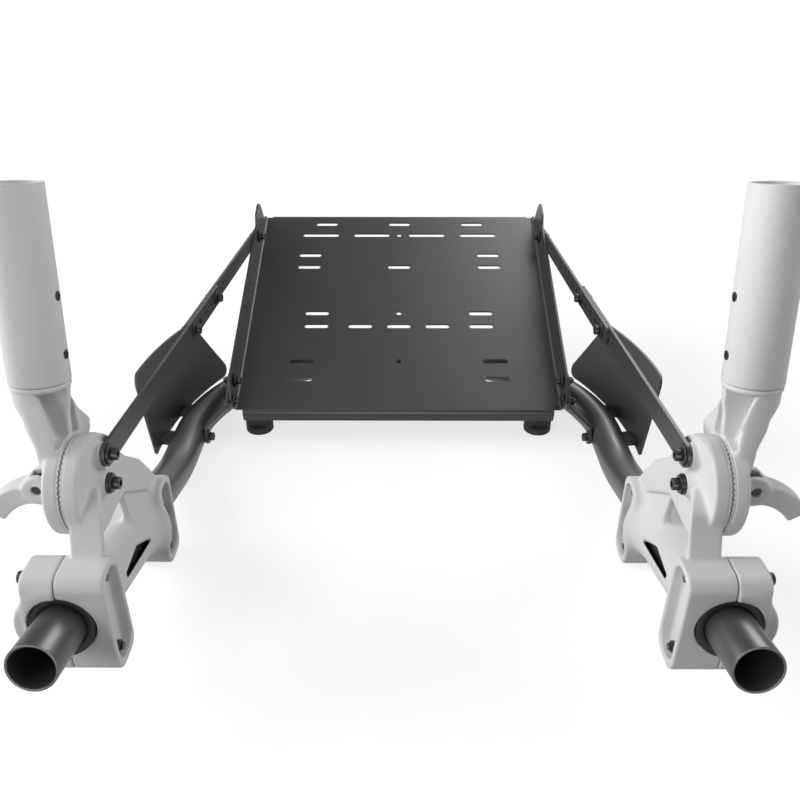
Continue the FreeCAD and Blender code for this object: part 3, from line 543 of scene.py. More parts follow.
@dataclass(frozen=True)
class Finish:
    """One finish of the frame's pieces, with its slot in the record."""

    name: str
    slot: str
    colour: Spot
    light: Spot
    rough: tuple[float, float]
    grain: float
    depth: float
    dust: float = 0.0
    metallic: float = 0.0
    level: float = 0.5
    bump: float = 0.35

    def material(self, surface: Surface) -> bpy.types.Material:
        """Material with its grain, drifts of tone and dust.

        Args:
            surface: The shared node groups.

        Returns:
            The new material, ready for any piece on object coordinates.
        """
        material = bpy.data.materials.new(self.name)
        material.use_nodes = True
        tree = material.node_tree
        place = add_node(tree, "ShaderNodeTexCoord").outputs["Object"]
        links = {"Vector": place, "Grain Scale": self.grain}
        coat = add_node(tree, "ShaderNodeGroup", links, node_tree=surface.coat).outputs
        dust = add_node(tree, "ShaderNodeGroup", {"Vector": place}, node_tree=surface.dust).outputs["Mask"]
        links = {"Factor": coat["Drift"], "A": (*self.colour, 1.0), "B": (*self.light, 1.0)}
        tone = add_node(tree, "ShaderNodeMix", links, data_type="RGBA").outputs["Result"]
        share = add_node(tree, "ShaderNodeMath", {0: dust, 1: self.dust}, operation="MULTIPLY").outputs["Value"]
        links = {"Factor": share, "A": tone, "B": DUST_COLOUR}
        veil = add_node(tree, "ShaderNodeMix", links, data_type="RGBA")
        links = {"Value": coat["Speckle"], "To Min": self.rough[0], "To Max": self.rough[1]}
        gloss = add_node(tree, "ShaderNodeMapRange", links)
        links = {"Strength": self.bump, "Distance": self.depth * MM, "Height": coat["Height"]}
        bump = add_node(tree, "ShaderNodeBump", links)
        fill(tree, tree.nodes["Principled BSDF"], {
            "Base Color": veil.outputs["Result"],
            "Metallic": self.metallic,
            "Roughness": gloss.outputs["Result"],
            "Specular IOR Level": self.level,
            "Normal": bump.outputs["Normal"],
        })
        return material


class Finishes(Enum):
    """Every finish on the frame."""

    WHITE_CAST = Finish("white_cast", "white_casting", (0.66, 0.66, 0.67), (0.76, 0.76, 0.77), (0.46, 0.6),
                        grain=700.0, depth=0.25, level=0.2)
    WHITE_TUBE = Finish("white_tube", "white_tube", (0.72, 0.72, 0.73), (0.78, 0.78, 0.79), (0.46, 0.58),
                        grain=1100.0, depth=0.12, level=0.18)
    BLACK_SHEET = Finish("black_sheet", "black_sheet", (0.022, 0.022, 0.023), (0.034, 0.034, 0.035), (0.36, 0.5),
                         grain=1300.0, depth=0.2, dust=0.03)
    BLACK_TUBE = Finish("black_tube", "black_tube", (0.034, 0.034, 0.035), (0.048, 0.048, 0.049), (0.3, 0.42),
                        grain=1000.0, depth=0.12, dust=0.02, level=0.8)
    BLACK_SCREW = Finish("black_screw", "black_screw", (0.018, 0.018, 0.019), (0.03, 0.03, 0.03), (0.3, 0.46),
                         grain=1500.0, depth=0.08, metallic=0.35)
    BLACK_PLASTIC = Finish("black_plastic", "black_plastic", (0.016, 0.016, 0.016), (0.024, 0.024, 0.024),
                           (0.5, 0.65), grain=1600.0, depth=0.1, dust=0.02, level=0.2)
    RUBBER = Finish("rubber_foot", "rubber", (0.012, 0.012, 0.012), (0.02, 0.02, 0.02), (0.65, 0.8),
                    grain=1200.0, depth=0.2, dust=0.05)


@dataclass(frozen=True)
class Easing:
    """How a CAD mesh is cleaned and its sharp edges are eased."""

    weld: float = 0.00002
    flat: float = math.radians(0.6)
    angle: float = math.radians(32)
    segments: int = 2
    weight: int = 100


class Workshop:
    """Makes pieces: gives a mesh its finish and its body, and hides the CAD nodes that it stands for."""

    def __init__(self, nodes: dict[str, bpy.types.Object]) -> None:
        """Builds all the materials once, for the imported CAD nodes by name."""
        self.nodes = nodes
        self.easing = Easing()
        surface = Surface()
        self.materials = {finish: finish.value.material(surface) for finish in Finishes}

    def piece(self, name: str, mesh: bpy.types.Mesh, finish: Finishes, body: str, *nodes: str) -> None:
        """Adds a finished piece that rides on a body.

        Args:
            name: Name of the piece.
            mesh: Its mesh, in the row frame.
            finish: Its finish.
            body: The body that it moves with.
            nodes: CAD nodes that it stands for.
        """
        thing = add_object(name, mesh)
        mesh.materials.clear()
        mesh.materials.append(self.materials[finish])
        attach(thing, body)
        if nodes:
            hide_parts(*nodes)
        LOG.info("%s: %d faces on %s", name, len(mesh.polygons), body)

    def made(self, name: str, shape: Shape, finish: Finishes, body: str, *nodes: str,
             sharp: float | None = None) -> None:
        """Adds a finished piece from a shape.

        Args:
            name: Name of the piece.
            shape: Its points and faces, in the maker's frame.
            finish: Its finish.
            body: The body that it moves with.
            nodes: CAD nodes that it stands for.
            sharp: Angle in degrees above which edges stay sharp, or None for none.
        """
        mesh = raw_mesh(f"{name}_mesh", to_row(shape.points), shape.faces)
        mesh.validate()
        mesh.shade_smooth()
        if sharp is not None:
            mesh.set_sharp_from_angle(angle=math.radians(sharp))
        self.piece(name, mesh, finish, body, *nodes)

    def softened(self, node: str, width: float) -> bpy.types.Mesh:
        """Copy of a CAD node's mesh with its sharp edges eased.

        Args:
            node: Name of the CAD node.
            width: Width of the eased edges in millimetres.

        Returns:
            The new mesh, shaded smooth.
        """
        easing, work = self.easing, bmesh.new()
        work.from_mesh(self.nodes[node].data)
        bmesh.ops.remove_doubles(work, verts=work.verts, dist=easing.weld)
        bmesh.ops.dissolve_limit(work, angle_limit=easing.flat, verts=work.verts, edges=work.edges)
        mesh = bpy.data.meshes.new(node + "_soft")
        work.to_mesh(mesh)
        work.free()
        thing = add_object(node + "_work", mesh)
        bevel = thing.modifiers.new("eased", "BEVEL")
        bevel.width = width * MM
        bevel.segments = easing.segments
        bevel.limit_method = "ANGLE"
        bevel.angle_limit = easing.angle
        even = thing.modifiers.new("even", "WEIGHTED_NORMAL")
        even.mode = "FACE_AREA"
        even.weight = easing.weight
        mesh.shade_smooth()
        return self.baked(thing, node + "_eased")

    @staticmethod
    def baked(thing: bpy.types.Object, name: str, sharp: float | None = None) -> bpy.types.Mesh:
        """Plain mesh of an object with its modifiers applied; the object itself is removed.

        Args:
            thing: The object to bake.
            name: Name of the new mesh.
            sharp: Angle in degrees above which edges stay sharp, or None for none.

        Returns:
            The baked mesh, shaded smooth.
        """
        graph = bpy.context.evaluated_depsgraph_get()
        mesh = bpy.data.meshes.new_from_object(thing.evaluated_get(graph))
        mesh.name = name
        old = thing.data
        bpy.data.objects.remove(thing)
        if old.users == 0:
            bpy.data.meshes.remove(old)
        mesh.shade_smooth()
        if sharp is not None:
            mesh.set_sharp_from_angle(angle=math.radians(sharp))
        return mesh


@dataclass(frozen=True)
class Layout:
    """Sizes that several sub-assemblies share."""

    base_x: float = 252.0
    slope: float = math.radians(13.0)
    front_y: float = -214.0
    rear_y: float = -382.0
    front_z: float = 48.0
    hinge_y: float = -326.0
    hinge_z: float = 170.0
    strut_y: float = -317.96
    strut_z: float = 192.08
    lean: float = math.radians(11.0)
    tilt: float = math.radians(21.6)
    edge_z: float = 39.4
    tube: float = 19.0
    wall: float = 2.0
    split: float = 0.3
    tooth_x: float = 249.0
    disc: float = 40.0
    ear: float = 26.0

    def axis_z(self, y: float) -> float:
        """Height of the floor tube's sloped axis at y."""
        return self.front_z - (y - self.front_y) * math.tan(self.slope)

    def slope_spot(self, y: float) -> Spot:
        """Point of the sloped axis on the right side."""
        return (self.base_x, y, self.axis_z(y))

    def down(self) -> Spot:
        """Direction of the sloped axis towards the front."""
        return (0.0, math.cos(self.slope), -math.sin(self.slope))

    def hinge(self, x: float) -> Spot:
        """Point of the right-hand hinge axis."""
        return (x, self.hinge_y, self.hinge_z)

    def upright_frame(self) -> Matrix:
        """Place of the leaning upright: hinge at the origin, upright along Z."""
        return Matrix.Translation(self.hinge(0.0)) @ Matrix.Rotation(-self.lean, 4, "X")

    def plate_spot(self, x: float, s: float, h: float) -> Spot:
        """Point at depth s and height h over the tilted deck."""
        y = s * math.cos(self.tilt) - h * math.sin(self.tilt)
        return (x, y, self.edge_z + s * math.sin(self.tilt) + h * math.cos(self.tilt))

    def tube_field(self, block: Block) -> tuple[np.ndarray, np.ndarray]:
        """Way along the sloped axis from the front clamp, and distance from it, at each sample."""
        x, y, z = block.axes()
        cos, sin = math.cos(self.slope), math.sin(self.slope)
        along = (y - self.front_y) * cos - (z - self.front_z) * sin
        across = (y - self.front_y) * sin + (z - self.front_z) * cos
        return along, np.hypot(x - self.base_x, across)


PLAN = Layout()


@dataclass(frozen=True)
class Clamp:
    """One clamp on the sloped tube: its place, its top over the tube's axis, its inner wall and its bore."""

    name: str
    y: float
    top: float
    wall: float
    bore: float
    fillet: float
    low: float = 48.0
    half: float = 19.0
    corner: float = 12.0
    screw: float = 12.0

    @property
    def height(self) -> float:
        """Height of the tube's axis in the clamp."""
        return PLAN.axis_z(self.y)

    def edge(self, inset: float, radius: float) -> np.ndarray:
        """Side outline of the clamp, drawn in by an inset, with corners of a radius."""
        near, far = self.y - self.half + inset, self.y + self.half - inset
        low, high = self.height - self.low + inset, self.height + self.top - inset
        return outline([(near, low, radius), (far, low, radius), (far, high, radius), (near, high, radius)], 10)

    def screw_levels(self) -> tuple[float, float]:
        """Heights of the clamp's two screws."""
        return self.height - self.low + self.screw, self.height + self.top - self.screw


FRONT_CLAMP = Clamp("front", PLAN.front_y, 42.5, 28.0, 19.3, 16.0)
REAR_CLAMP = Clamp("rear", PLAN.rear_y, 48.0, 37.0, 25.8, 4.0)
CLAMPS = (FRONT_CLAMP, REAR_CLAMP)


@dataclass
class SideCasting:
    """White casting of one side: clamp halves, tube sleeve, rear post, shoulder and the fixed hinge disc."""

    shop: Workshop
    sleeve: float = 27.0
    flare: float = 4.5
    flare_start: float = 58.0
    flare_run: float = 46.0
    shell: float = 23.0
    pocket: float = 9.0
    pocket_corner: float = 13.4
    rim: float = 5.0
    disc_x: float = 236.0
    disc_edge: float = 1.8
    face_slant: float = 0.08
    post_x: float = 220.5
    post_slant: float = 0.34
    pivot: tuple[float, float, float] = (15.0, 8.8, 10.0)
    strut_boss: tuple[float, float] = (10.0, 8.0)
    step: float = 1.2

    @staticmethod
    def _from_hinge(corners: Sequence[Corner]) -> list[Corner]:
        """Corners that are given from the hinge axis."""
        return shifted(PLAN.hinge_y, PLAN.hinge_z, corners)

    def _shoulder(self, block: Block, body: np.ndarray) -> np.ndarray:
        """The body with the beam from disc to front clamp, over a thinner wall that flows into the sleeve."""
        x, y, z = block.axes()
        clamp = (FRONT_CLAMP.y + FRONT_CLAMP.half, FRONT_CLAMP.height + FRONT_CLAMP.top)
        beam = self._from_hinge(
            ((34.0, 16.0, 0.0), (61.0, -15.0, 24.0), (90.0, -38.0, 26.0), (110.0, -63.0, 26.0)))
        beam += shifted(*clamp, ((-3.0, -10.0, 5.0), (-8.0, -28.0, 0.0), (-34.0, -28.0, 0.0), (-36.0, 2.0, 2.0)))
        beam += self._from_hinge(((42.0, -41.0, 8.0), (-12.0, -42.0, 4.0), (-12.0, -20.0, 0.0)))
        wall = self._from_hinge(((44.0, -38.0, 0.0),))
        wall += shifted(*clamp, ((-34.0, 4.0, 0.0), (-34.0, -30.0, 0.0)))
        wall += self._from_hinge(((64.0, -110.0, 0.0), (54.0, -86.0, 4.0), (47.0, -52.0, 3.0)))
        upper = slab(x, self.disc_x - 3.0, self.disc_x + 8.0)
        upper = rounded(flat_field(y, z, outline(beam)), upper, 2.6)
        lower = slab(x, self.disc_x + 1.0, self.disc_x + 7.5)
        lower = rounded(flat_field(y, z, outline(wall)), lower, 1.6)
        return merge(merge(body, lower, 12.0), upper, 2.6)

    def _post(self, block: Block) -> np.ndarray:
        """Rear post on the clamp, whose inner half runs on over the disc's face as a tapering finger."""
        x, y, z = block.axes()
        foot = REAR_CLAMP.height + 10.0 - PLAN.hinge_z
        base = [(-50.5, foot, 0.0), (-24.0, foot, 0.0)]
        tall = [(-24.0, -34.0, 6.0), (-10.0, -8.0, 6.0), (-11.5, 6.5, 2.5), (-36.0, -3.5, 10.0)]
        short = [(-20.0, -31.0, 0.0), (-34.0, -12.0, 0.0), (-38.8, -11.0, 2.0)]
        rear = PLAN.hinge_y - 48.5 + 0.39 * np.clip(z - PLAN.hinge_z + 36.0, 0.0, 32.5)
        inner = self.post_x - (x - self.post_slant * np.maximum(y - rear, 0.0))
        parts = []
        for upper, end in ((tall, self.disc_x + 10.0), (short, PLAN.tooth_x - 2.5)):
            edge = outline(self._from_hinge(base + upper + [(-48.5, -36.0, 6.0)]))
            parts.append(rounded(flat_field(y, z, edge), np.maximum(inner, x - end), 2.2))
        return merge(*parts, 1.5)

    def _window(self, block: Block) -> np.ndarray:
        """Slanted four-sided opening in the inner wall of the sleeve."""
        x, y, z = block.axes()
        corners = ((-259.0, 3.5, 2.0), (-292.0, 17.5, 3.0), (-333.0, 6.5, 3.0), (-331.0, 1.5, 1.5))
        edge = outline([(place, PLAN.axis_z(place) + rise, radius) for place, rise, radius in corners])
        sunk = z + 1.3 * np.maximum(x - PLAN.base_x + self.sleeve, 0.0)
        return np.maximum(0.6 * flat_field(*np.broadcast_arrays(y, sunk), edge), x - PLAN.base_x + 12.0)

    def _cuts(self, block: Block, body: np.ndarray) -> np.ndarray:
        """The body with its bores, pockets, split faces and window taken out."""
        x, y, z = block.axes()
        along, out = PLAN.tube_field(block)
        for clamp in CLAMPS:
            nest = flat_field(y, z, clamp.edge(self.rim, self.pocket_corner))
            body = carve(body, np.maximum(nest, x - PLAN.base_x + clamp.wall - self.pocket), 1.4)
            wide = slab(y, clamp.y - 20.5, clamp.y + 20.5)
            beyond = np.maximum(wide, slab(z, clamp.height - 60.0, clamp.height + 60.0))
            body = np.maximum(body, -np.maximum(beyond, PLAN.base_x - PLAN.split - x))
        body = carve(body, self._window(block), 1.0)
        body = carve(body, np.maximum(out - self.shell, slab(along, -128.0, -40.0)), 0.8)
        body = carve(body, out - FRONT_CLAMP.bore, 1.0)
        rear = (PLAN.rear_y - PLAN.front_y) / math.cos(PLAN.slope)
        body = carve(body, np.maximum(out - REAR_CLAMP.bore, along - rear - REAR_CLAMP.half), 1.0)
        reach = np.hypot(y - PLAN.hinge_y, z - PLAN.hinge_z) - PLAN.disc - 4.5
        return np.maximum(body, -np.maximum(reach, PLAN.tooth_x - 2.2 - x))

    def _disc(self, block: Block) -> np.ndarray:
        """Hinge disc with a slanted inner face and a cone round the pivot."""
        x, y, z = block.axes()
        far = np.hypot(y - PLAN.hinge_y, z - PLAN.hinge_z)
        disc = rounded(far - PLAN.disc, slab(x, self.disc_x, PLAN.tooth_x + 8.0), self.disc_edge)
        face = self.disc_x + 1.0 - self.face_slant * (y - PLAN.hinge_y + PLAN.disc) - x
        layer = np.maximum(far - PLAN.disc + 1.0, slab(x, self.disc_x - 9.0, self.disc_x + 3.0))
        disc = merge(disc, np.maximum(layer, face), 1.2)
        foot, top, rise = self.pivot
        run = foot - top
        cone = ((far - foot) * rise + (self.disc_x - x) * run) / math.hypot(rise, run)
        return merge(disc, np.maximum(cone, slab(x, self.disc_x - rise, self.disc_x + 1.0)), 5.0)

    def shape(self) -> Shape:
        """Mesh of the right-hand casting, without its teeth."""
        block = Block((211.0, -404.5, -2.5), (286.5, -191.0, 215.5), self.step)
        x, y, z = block.axes()
        along, out = PLAN.tube_field(block)
        run = (PLAN.rear_y - PLAN.front_y) / math.cos(PLAN.slope)
        swell = self.sleeve + self.flare * eased((along + self.flare_start) / self.flare_run)
        body = rounded(out - swell, slab(along, run, -2.0), 3.0)
        for clamp in CLAMPS:
            layer = slab(x, PLAN.base_x - clamp.wall, PLAN.base_x + 8.0)
            half = rounded(flat_field(y, z, clamp.edge(0.0, clamp.corner)), layer, 2.0)
            body = merge(body, half, clamp.fillet)
        body = self._shoulder(block, body)
        body = merge(body, self._disc(block), 3.0)
        body = merge(body, self._post(block), 2.6)
        radius, height = self.strut_boss
        boss = np.hypot(y - PLAN.strut_y, z - PLAN.strut_z) - radius
        boss = rounded(boss, slab(x, self.disc_x - height, self.disc_x + 6.0), 1.2)
        return block.skin(self._cuts(block, merge(body, boss, 2.4)))

    def build(self, side: Side, shape: Shape) -> None:
        """Adds the casting of one side from the right-hand mesh."""
        label = side.label
        body = Body.FRAME.on(side)
        self.shop.made(f"cast_body_{label}", shape.on(side), Finishes.WHITE_CAST, body, f"side_casting_{label}")


@dataclass
class ClampCaps:
    """Outer clamp halves: a half ring with a flat ear above and below."""

    shop: Workshop
    ring: float = 12.0
    step: float = 1.2

    def shape(self, clamp: Clamp) -> Shape:
        """Mesh of the right-hand cap of a clamp."""
        far, height = PLAN.base_x + clamp.bore + self.ring, clamp.height
        low = (PLAN.base_x - 1.5, clamp.y - 21.0, height - 50.0)
        block = Block(low, (far + 2.0, clamp.y + 21.0, height + 50.0), self.step)
        x, y, z = block.axes()
        ears = flat_field(y, z, clamp.edge(0.0, clamp.corner))
        ears = rounded(ears, slab(x, PLAN.base_x - 9.0, PLAN.base_x + PLAN.ear), 2.2)
        out = np.hypot(x - PLAN.base_x, z - height) - clamp.bore - self.ring
        body = merge(ears, rounded(out, slab(y, clamp.y - clamp.half, clamp.y + clamp.half), 2.6), 6.0)
        body = carve(body, PLAN.tube_field(block)[1] - clamp.bore, 1.0)
        return block.skin(np.maximum(body, PLAN.base_x + PLAN.split - x))

    def build(self) -> None:
        """Adds all four caps."""
        for clamp in CLAMPS:
            shape = self.shape(clamp)
            for side in Side:
                node = f"{clamp.name}_clamp_cap_{side.label}"
                self.shop.made(f"cast_{node}", shape.on(side), Finishes.WHITE_CAST, Body.FRAME.on(side), node)


@dataclass
class HingeArm:
    """Moving half of a hinge: toothed disc, ribbed swan neck, collar, and the upright tube that it carries.

    A row of the neck's table holds a height, the section's middle and half widths in X and Y, and its
    roundness.
    """

    shop: Workshop
    outer_x: float = 263.0
    edge: float = 4.0
    core: float = 30.8
    neck: tuple[tuple[float, float, float, float, float, float], ...] = (
        (14.0, 259.0, 4.0, 8.5, 30.0, 4.0),
        (33.6, 261.0, 3.0, 10.5, 27.0, 4.0),
        (56.3, 265.0, 1.0, 15.0, 23.0, 3.0),
        (72.2, 268.0, 0.0, 20.4, 20.6, 2.2),
        (82.0, 268.0, 0.0, 21.0, 21.0, 2.0),
    )
    post_x: float = 268.0
    collar_z: float = 84.0
    collar: float = 22.2
    tube: float = 22.5
    wall: float = 2.5
    length: float = 145.0
    bolt: float = 4.4
    step: float = 1.0

    def _neck_field(self, block: Block) -> np.ndarray:
        """Swan neck whose section runs from a rounded box at the disc to a circle at the collar."""
        x, y, z = block.axes()
        knots, *columns = zip(*self.neck)
        middle_x, middle_y, half_x, half_y, power = (along_table(z, knots, column) for column in columns)
        a, b = np.abs(x - middle_x), np.abs(y - middle_y)
        reach = np.hypot(a, b)
        share = ((a / half_x) ** power + (b / half_y) ** power) ** (1 / power)
        across = np.where(reach > 0.01, reach - reach / np.maximum(share, 1e-3), -half_x)
        return rounded(across, slab(z, 12.0, 82.5), 1.0)

    def _ribs(self, block: Block) -> np.ndarray:
        """The open inner corner of the neck and the two channels, which leave three ribs standing."""
        x, y, z = block.axes()
        floor = [(225.0, 36.1, 0.0), (259.0, 36.1, 4.0), (265.5, 58.0, 10.0), (273.0, 76.5, 5.0), (225.0, 76.5, 0.0)]
        crest = [(225.0, 34.0, 0.0), (251.0, 34.0, 0.0), (253.5, 50.0, 12.0), (264.0, 79.0, 0.0), (225.0, 79.0, 0.0)]
        deep = flat_field(x, z, outline(floor))
        rear = -16.5 - 0.14 * np.clip(76.5 - z, 0.0, 40.0)
        first = rounded(deep, np.maximum(rear - y, y + 2.6), 1.6)
        corner = rounded(flat_field(x, z, outline(crest)), y + 2.6, 1.6)
        return np.minimum(np.minimum(first, corner), rounded(deep, slab(y, 4.4, 17.0), 1.6))

    def arm_shape(self) -> Shape:
        """Mesh of the right-hand arm in its own frame, hinge at the origin."""
        block = Block((243.0, -43.0, -43.0), (294.0, 50.0, 87.0), self.step)
        x, y, z = block.axes()
        out = np.hypot(y, z)
        disc = rounded(out - PLAN.disc, slab(x, PLAN.tooth_x - 9.0, self.outer_x), self.edge)
        wing = outline([
            (7.0, 74.0, 2.0), (26.0, 55.5, 8.0), (47.0, 38.0, 4.0), (45.0, 29.0, 4.0), (30.0, 16.0, 0.0),
            (6.0, 16.0, 0.0),
        ])
        front = rounded(flat_field(y, z, wing), slab(x, PLAN.tooth_x + 4.0, PLAN.tooth_x + 11.5), 2.4)
        neck = merge(self._neck_field(block), front, 4.0)
        body = merge(carve(neck, self._ribs(block), 0.9), disc, 3.0)
        body = np.where(out < PLAN.disc + 3.0, np.maximum(body, PLAN.tooth_x + 2.2 - x), body)
        core = np.maximum(out - self.core, slab(x, PLAN.tooth_x + 0.4, PLAN.tooth_x + 6.0))
        ring = np.hypot(x - self.post_x, y) - self.collar
        ring = rounded(ring, slab(z, self.collar_z - 3.6, self.collar_z), 1.0)
        return block.skin(carve(merge(np.minimum(body, core), ring, 0.9), out - self.bolt, 0.6))

    def build(self, side: Side, arm: Shape) -> None:
        """Adds the arm and the upright of one side.

        Args:
            side: The side.
            arm: The right-hand arm in its own frame.
        """
        place, label, body = PLAN.upright_frame(), side.label, Body.UPRIGHT.on(side)
        foot, up, bore = (self.post_x, 0.0, self.collar_z - 1.5), (0, 0, 1), self.tube - self.wall
        spigot = lathe(foot, up, tube_profile(length=81.5, outer=bore - 0.3, inner=14.7, edge=0.8), 64)
        whole = arm.joined(spigot).moved(place).on(side)
        self.shop.made(f"cast_arm_{label}", whole, Finishes.WHITE_CAST, body, f"hinge_arm_{label}")
        seam = 0.7
        foot = (self.post_x, 0.0, self.collar_z + seam)
        tube = lathe(foot, up, tube_profile(self.length - seam, self.tube, bore, edge=0.55), 128)
        tube = tube.moved(place).on(side)
        node = f"upright_tube_{label}"
        self.shop.made(f"upright_{label}_sheen", tube, Finishes.WHITE_TUBE, body, node, sharp=TUBE_SHARP)


@dataclass
class ClampLever:
    """Forked cam lever on the outer end of the hinge bolt, with its pin, the bolt's eye and the cam's seat."""

    shop: Workshop
    pin_x: float = 279.1
    pin: float = 4.1
    bore: float = 4.2
    cam: float = 11.0
    arc: float = 53.0
    sweep: float = math.radians(59.0)
    width: float = 22.0
    inset: float = 4.8
    thick: float = 9.2
    taper: float = 0.8
    tip: float = 9.0
    slot: float = 9.0
    throat: float = 5.6
    step: float = 0.9

    def shape(self) -> Shape:
        """Mesh of the right-hand lever, bored for its pin."""
        low = (self.pin_x - 14.0, PLAN.hinge_y - 13.0, PLAN.hinge_z - 37.0)
        block = Block(low, (self.pin_x + 53.0, PLAN.hinge_y + 13.0, PLAN.hinge_z + 14.0), self.step)
        x, y, z = block.axes()
        side, away, rise = np.abs(y - PLAN.hinge_y), x - self.pin_x, z - PLAN.hinge_z
        out, up = np.hypot(away, rise), rise + self.arc
        turn = np.arctan2(away, up)
        share = np.clip(turn / self.sweep, 0, 1)
        left = np.clip((self.sweep - turn) * self.arc, 0, self.tip)
        tip = self.tip - np.sqrt(np.maximum(self.tip ** 2 - (self.tip - left) ** 2, 0.0))
        waist = 2.0 * np.sin(np.pi * np.clip(share * 1.15, 0, 1))
        wide = 0.5 * self.width - waist - self.taper * share - tip
        thick = np.abs(np.hypot(away, up) - self.arc + self.inset) - self.thick + self.taper * share
        grip = rounded(thick, side - wide, 2.4)
        grip = np.maximum(grip, np.maximum(-turn - 0.05, turn - self.sweep) * self.arc)
        body = merge(rounded(out - self.cam, side - 0.5 * self.width, 2.0), grip, 5.0)
        throat = np.minimum(out - 8.4, np.maximum(away - self.throat, -rise - self.throat))
        body = carve(body, np.maximum(side - 0.5 * self.slot, throat), 1.0)
        return block.skin(carve(body, out - self.bore, 0.6))

    def pin_shape(self) -> Shape:
        """Mesh of the right-hand lever's pin."""
        length, ease = self.width - 2.0, 0.5
        ends = ((0.0, self.pin - 1.5), (0.0, self.pin - ease), (ease, self.pin))
        rings = [(height, radius, 0) for height, radius in ends]
        rings += [(length - height, radius, 0) for height, radius in reversed(ends)]
        start = Vector(PLAN.hinge(self.pin_x)) - Vector((0.0, 0.5 * length, 0.0))
        return stacked(rings, 40).moved(Matrix.Translation(start) @ Matrix.Rotation(-0.5 * math.pi, 4, "X"))

    def bolt_shape(self) -> Shape:
        """Mesh of the right-hand hinge bolt: washers, socket head, shank and eye."""
        washers = ((0.0, 8.2), (0.3, 8.5), (1.7, 8.5), (2.0, 8.2), (2.0, 7.2), (2.3, 7.5), (3.3, 7.5), (3.6, 7.2))
        rings = [(height, radius, 0) for height, radius in washers]
        rings += [(height + 2.0, radius, sides) for height, radius, sides in HEAD_RINGS[WASHER_RINGS:]]
        turned = Matrix.Translation(PLAN.hinge(225.7)) @ Matrix.Rotation(-0.5 * math.pi, 4, "Y")
        head = stacked(rings, 64).moved(turned)
        profile = tube_profile(length=47.0, outer=4.0, inner=1.0, edge=0.3)
        shank = lathe(PLAN.hinge(226.0), (1, 0, 0), profile, 32)
        profile = tube_profile(length=8.0, outer=7.0, inner=4.4, edge=0.8)
        eye = lathe((self.pin_x, PLAN.hinge_y - 4.0, PLAN.hinge_z), (0, 1, 0), profile, 48)
        return head.joined(shank, eye)

    @staticmethod
    def seat_shape() -> Shape:
        """Mesh of the thick washer under the right-hand cam."""
        profile = tube_profile(length=4.5, outer=12.0, inner=4.3, edge=0.8)
        return lathe(PLAN.hinge(263.3), (1, 0, 0), profile, 64)

    def build(self) -> None:
        """Adds both levers with their pins, bolts and seats."""
        lever, pin, bolt, seat = self.shape(), self.pin_shape(), self.bolt_shape(), self.seat_shape()
        make, screw = self.shop.made, Finishes.BLACK_SCREW
        dressed = (("pivot_bolt", bolt, screw), ("cam_seat", seat, Finishes.BLACK_PLASTIC))
        for side in Side:
            label, body = side.label, Body.LEVER.on(side)
            make(f"cam_lever_{label}", lever.on(side), Finishes.WHITE_CAST, body, f"clamp_lever_{label}")
            make(f"lever_pin_{label}", pin.on(side), screw, body, sharp=BOLT_SHARP)
            for name, shape, finish in dressed:
                node = f"{name}_{label}"
                make(f"{node}_dressed", shape.on(side), finish, Body.FRAME.on(side), node, sharp=BOLT_SHARP)


@dataclass
class Tubes:
    """Black floor tube, the two rear tubes and their bushings."""

    shop: Workshop
    slope_bend: float = 200.0
    corner_bend: float = 190.0
    cross_y: float = 172.0
    start_y: float = -332.0
    rear_start: float = -344.0
    rear_end: float = -452.0
    bush_back: float = 20.5
    bush_run: float = 39.5
    slope_steps: int = 8
    corner_steps: int = 32

    def path(self) -> list[Vector]:
        """Axis of the floor tube from its right end round to its left end."""
        slope, level = PLAN.slope, PLAN.tube
        half = self.slope_bend * math.tan(0.5 * slope)
        meet = PLAN.front_y + (PLAN.front_z - level) / math.tan(slope)
        centre = Vector((PLAN.base_x, meet + half, level + self.slope_bend))
        path = [Vector(PLAN.slope_spot(self.start_y + 0.5 * step)) for step in (0, 1, 2)]
        for step in range(self.slope_steps + 1):
            turn = slope * (1 - step / self.slope_steps)
            path.append(centre - Vector((0, math.sin(turn), math.cos(turn))) * self.slope_bend)
        middle = Vector((PLAN.base_x - self.corner_bend, self.cross_y - self.corner_bend, level))
        for step in range(self.corner_steps + 1):
            turn = 0.5 * math.pi * step / self.corner_steps
            path.append(middle + Vector((math.cos(turn), math.sin(turn), 0)) * self.corner_bend)
        return path + [Vector((-spot.x, spot.y, spot.z)) for spot in reversed(path)]

    def build(self) -> None:
        """Adds the tubes and bushings."""
        outer, inner = PLAN.tube, PLAN.tube - PLAN.wall
        make, black, frame = self.shop.made, Finishes.BLACK_TUBE, Body.FRAME.value
        tube = sweep(self.path(), outer, inner, 72)
        make("floor_tube_coated", tube, black, frame, "front_tube", sharp=TUBE_SHARP)
        length = (self.rear_start - self.rear_end) / math.cos(PLAN.slope)
        rear = lathe(PLAN.slope_spot(self.rear_end), PLAN.down(), tube_profile(length, outer, inner, 0.5), 96)
        profile = tube_profile(self.bush_run / math.cos(PLAN.slope), outer=25.5, inner=19.3, edge=0.9)
        ring = lathe(PLAN.slope_spot(PLAN.rear_y - self.bush_back), PLAN.down(), profile, 96)
        jobs = (("rear_tube", rear, black), ("rear_bushing", ring, Finishes.BLACK_PLASTIC))
        for side in Side:
            for name, shape, finish in jobs:
                node = f"{name}_{side.label}"
                make(f"{node}_coated", shape.on(side), finish, frame, node, sharp=TUBE_SHARP)


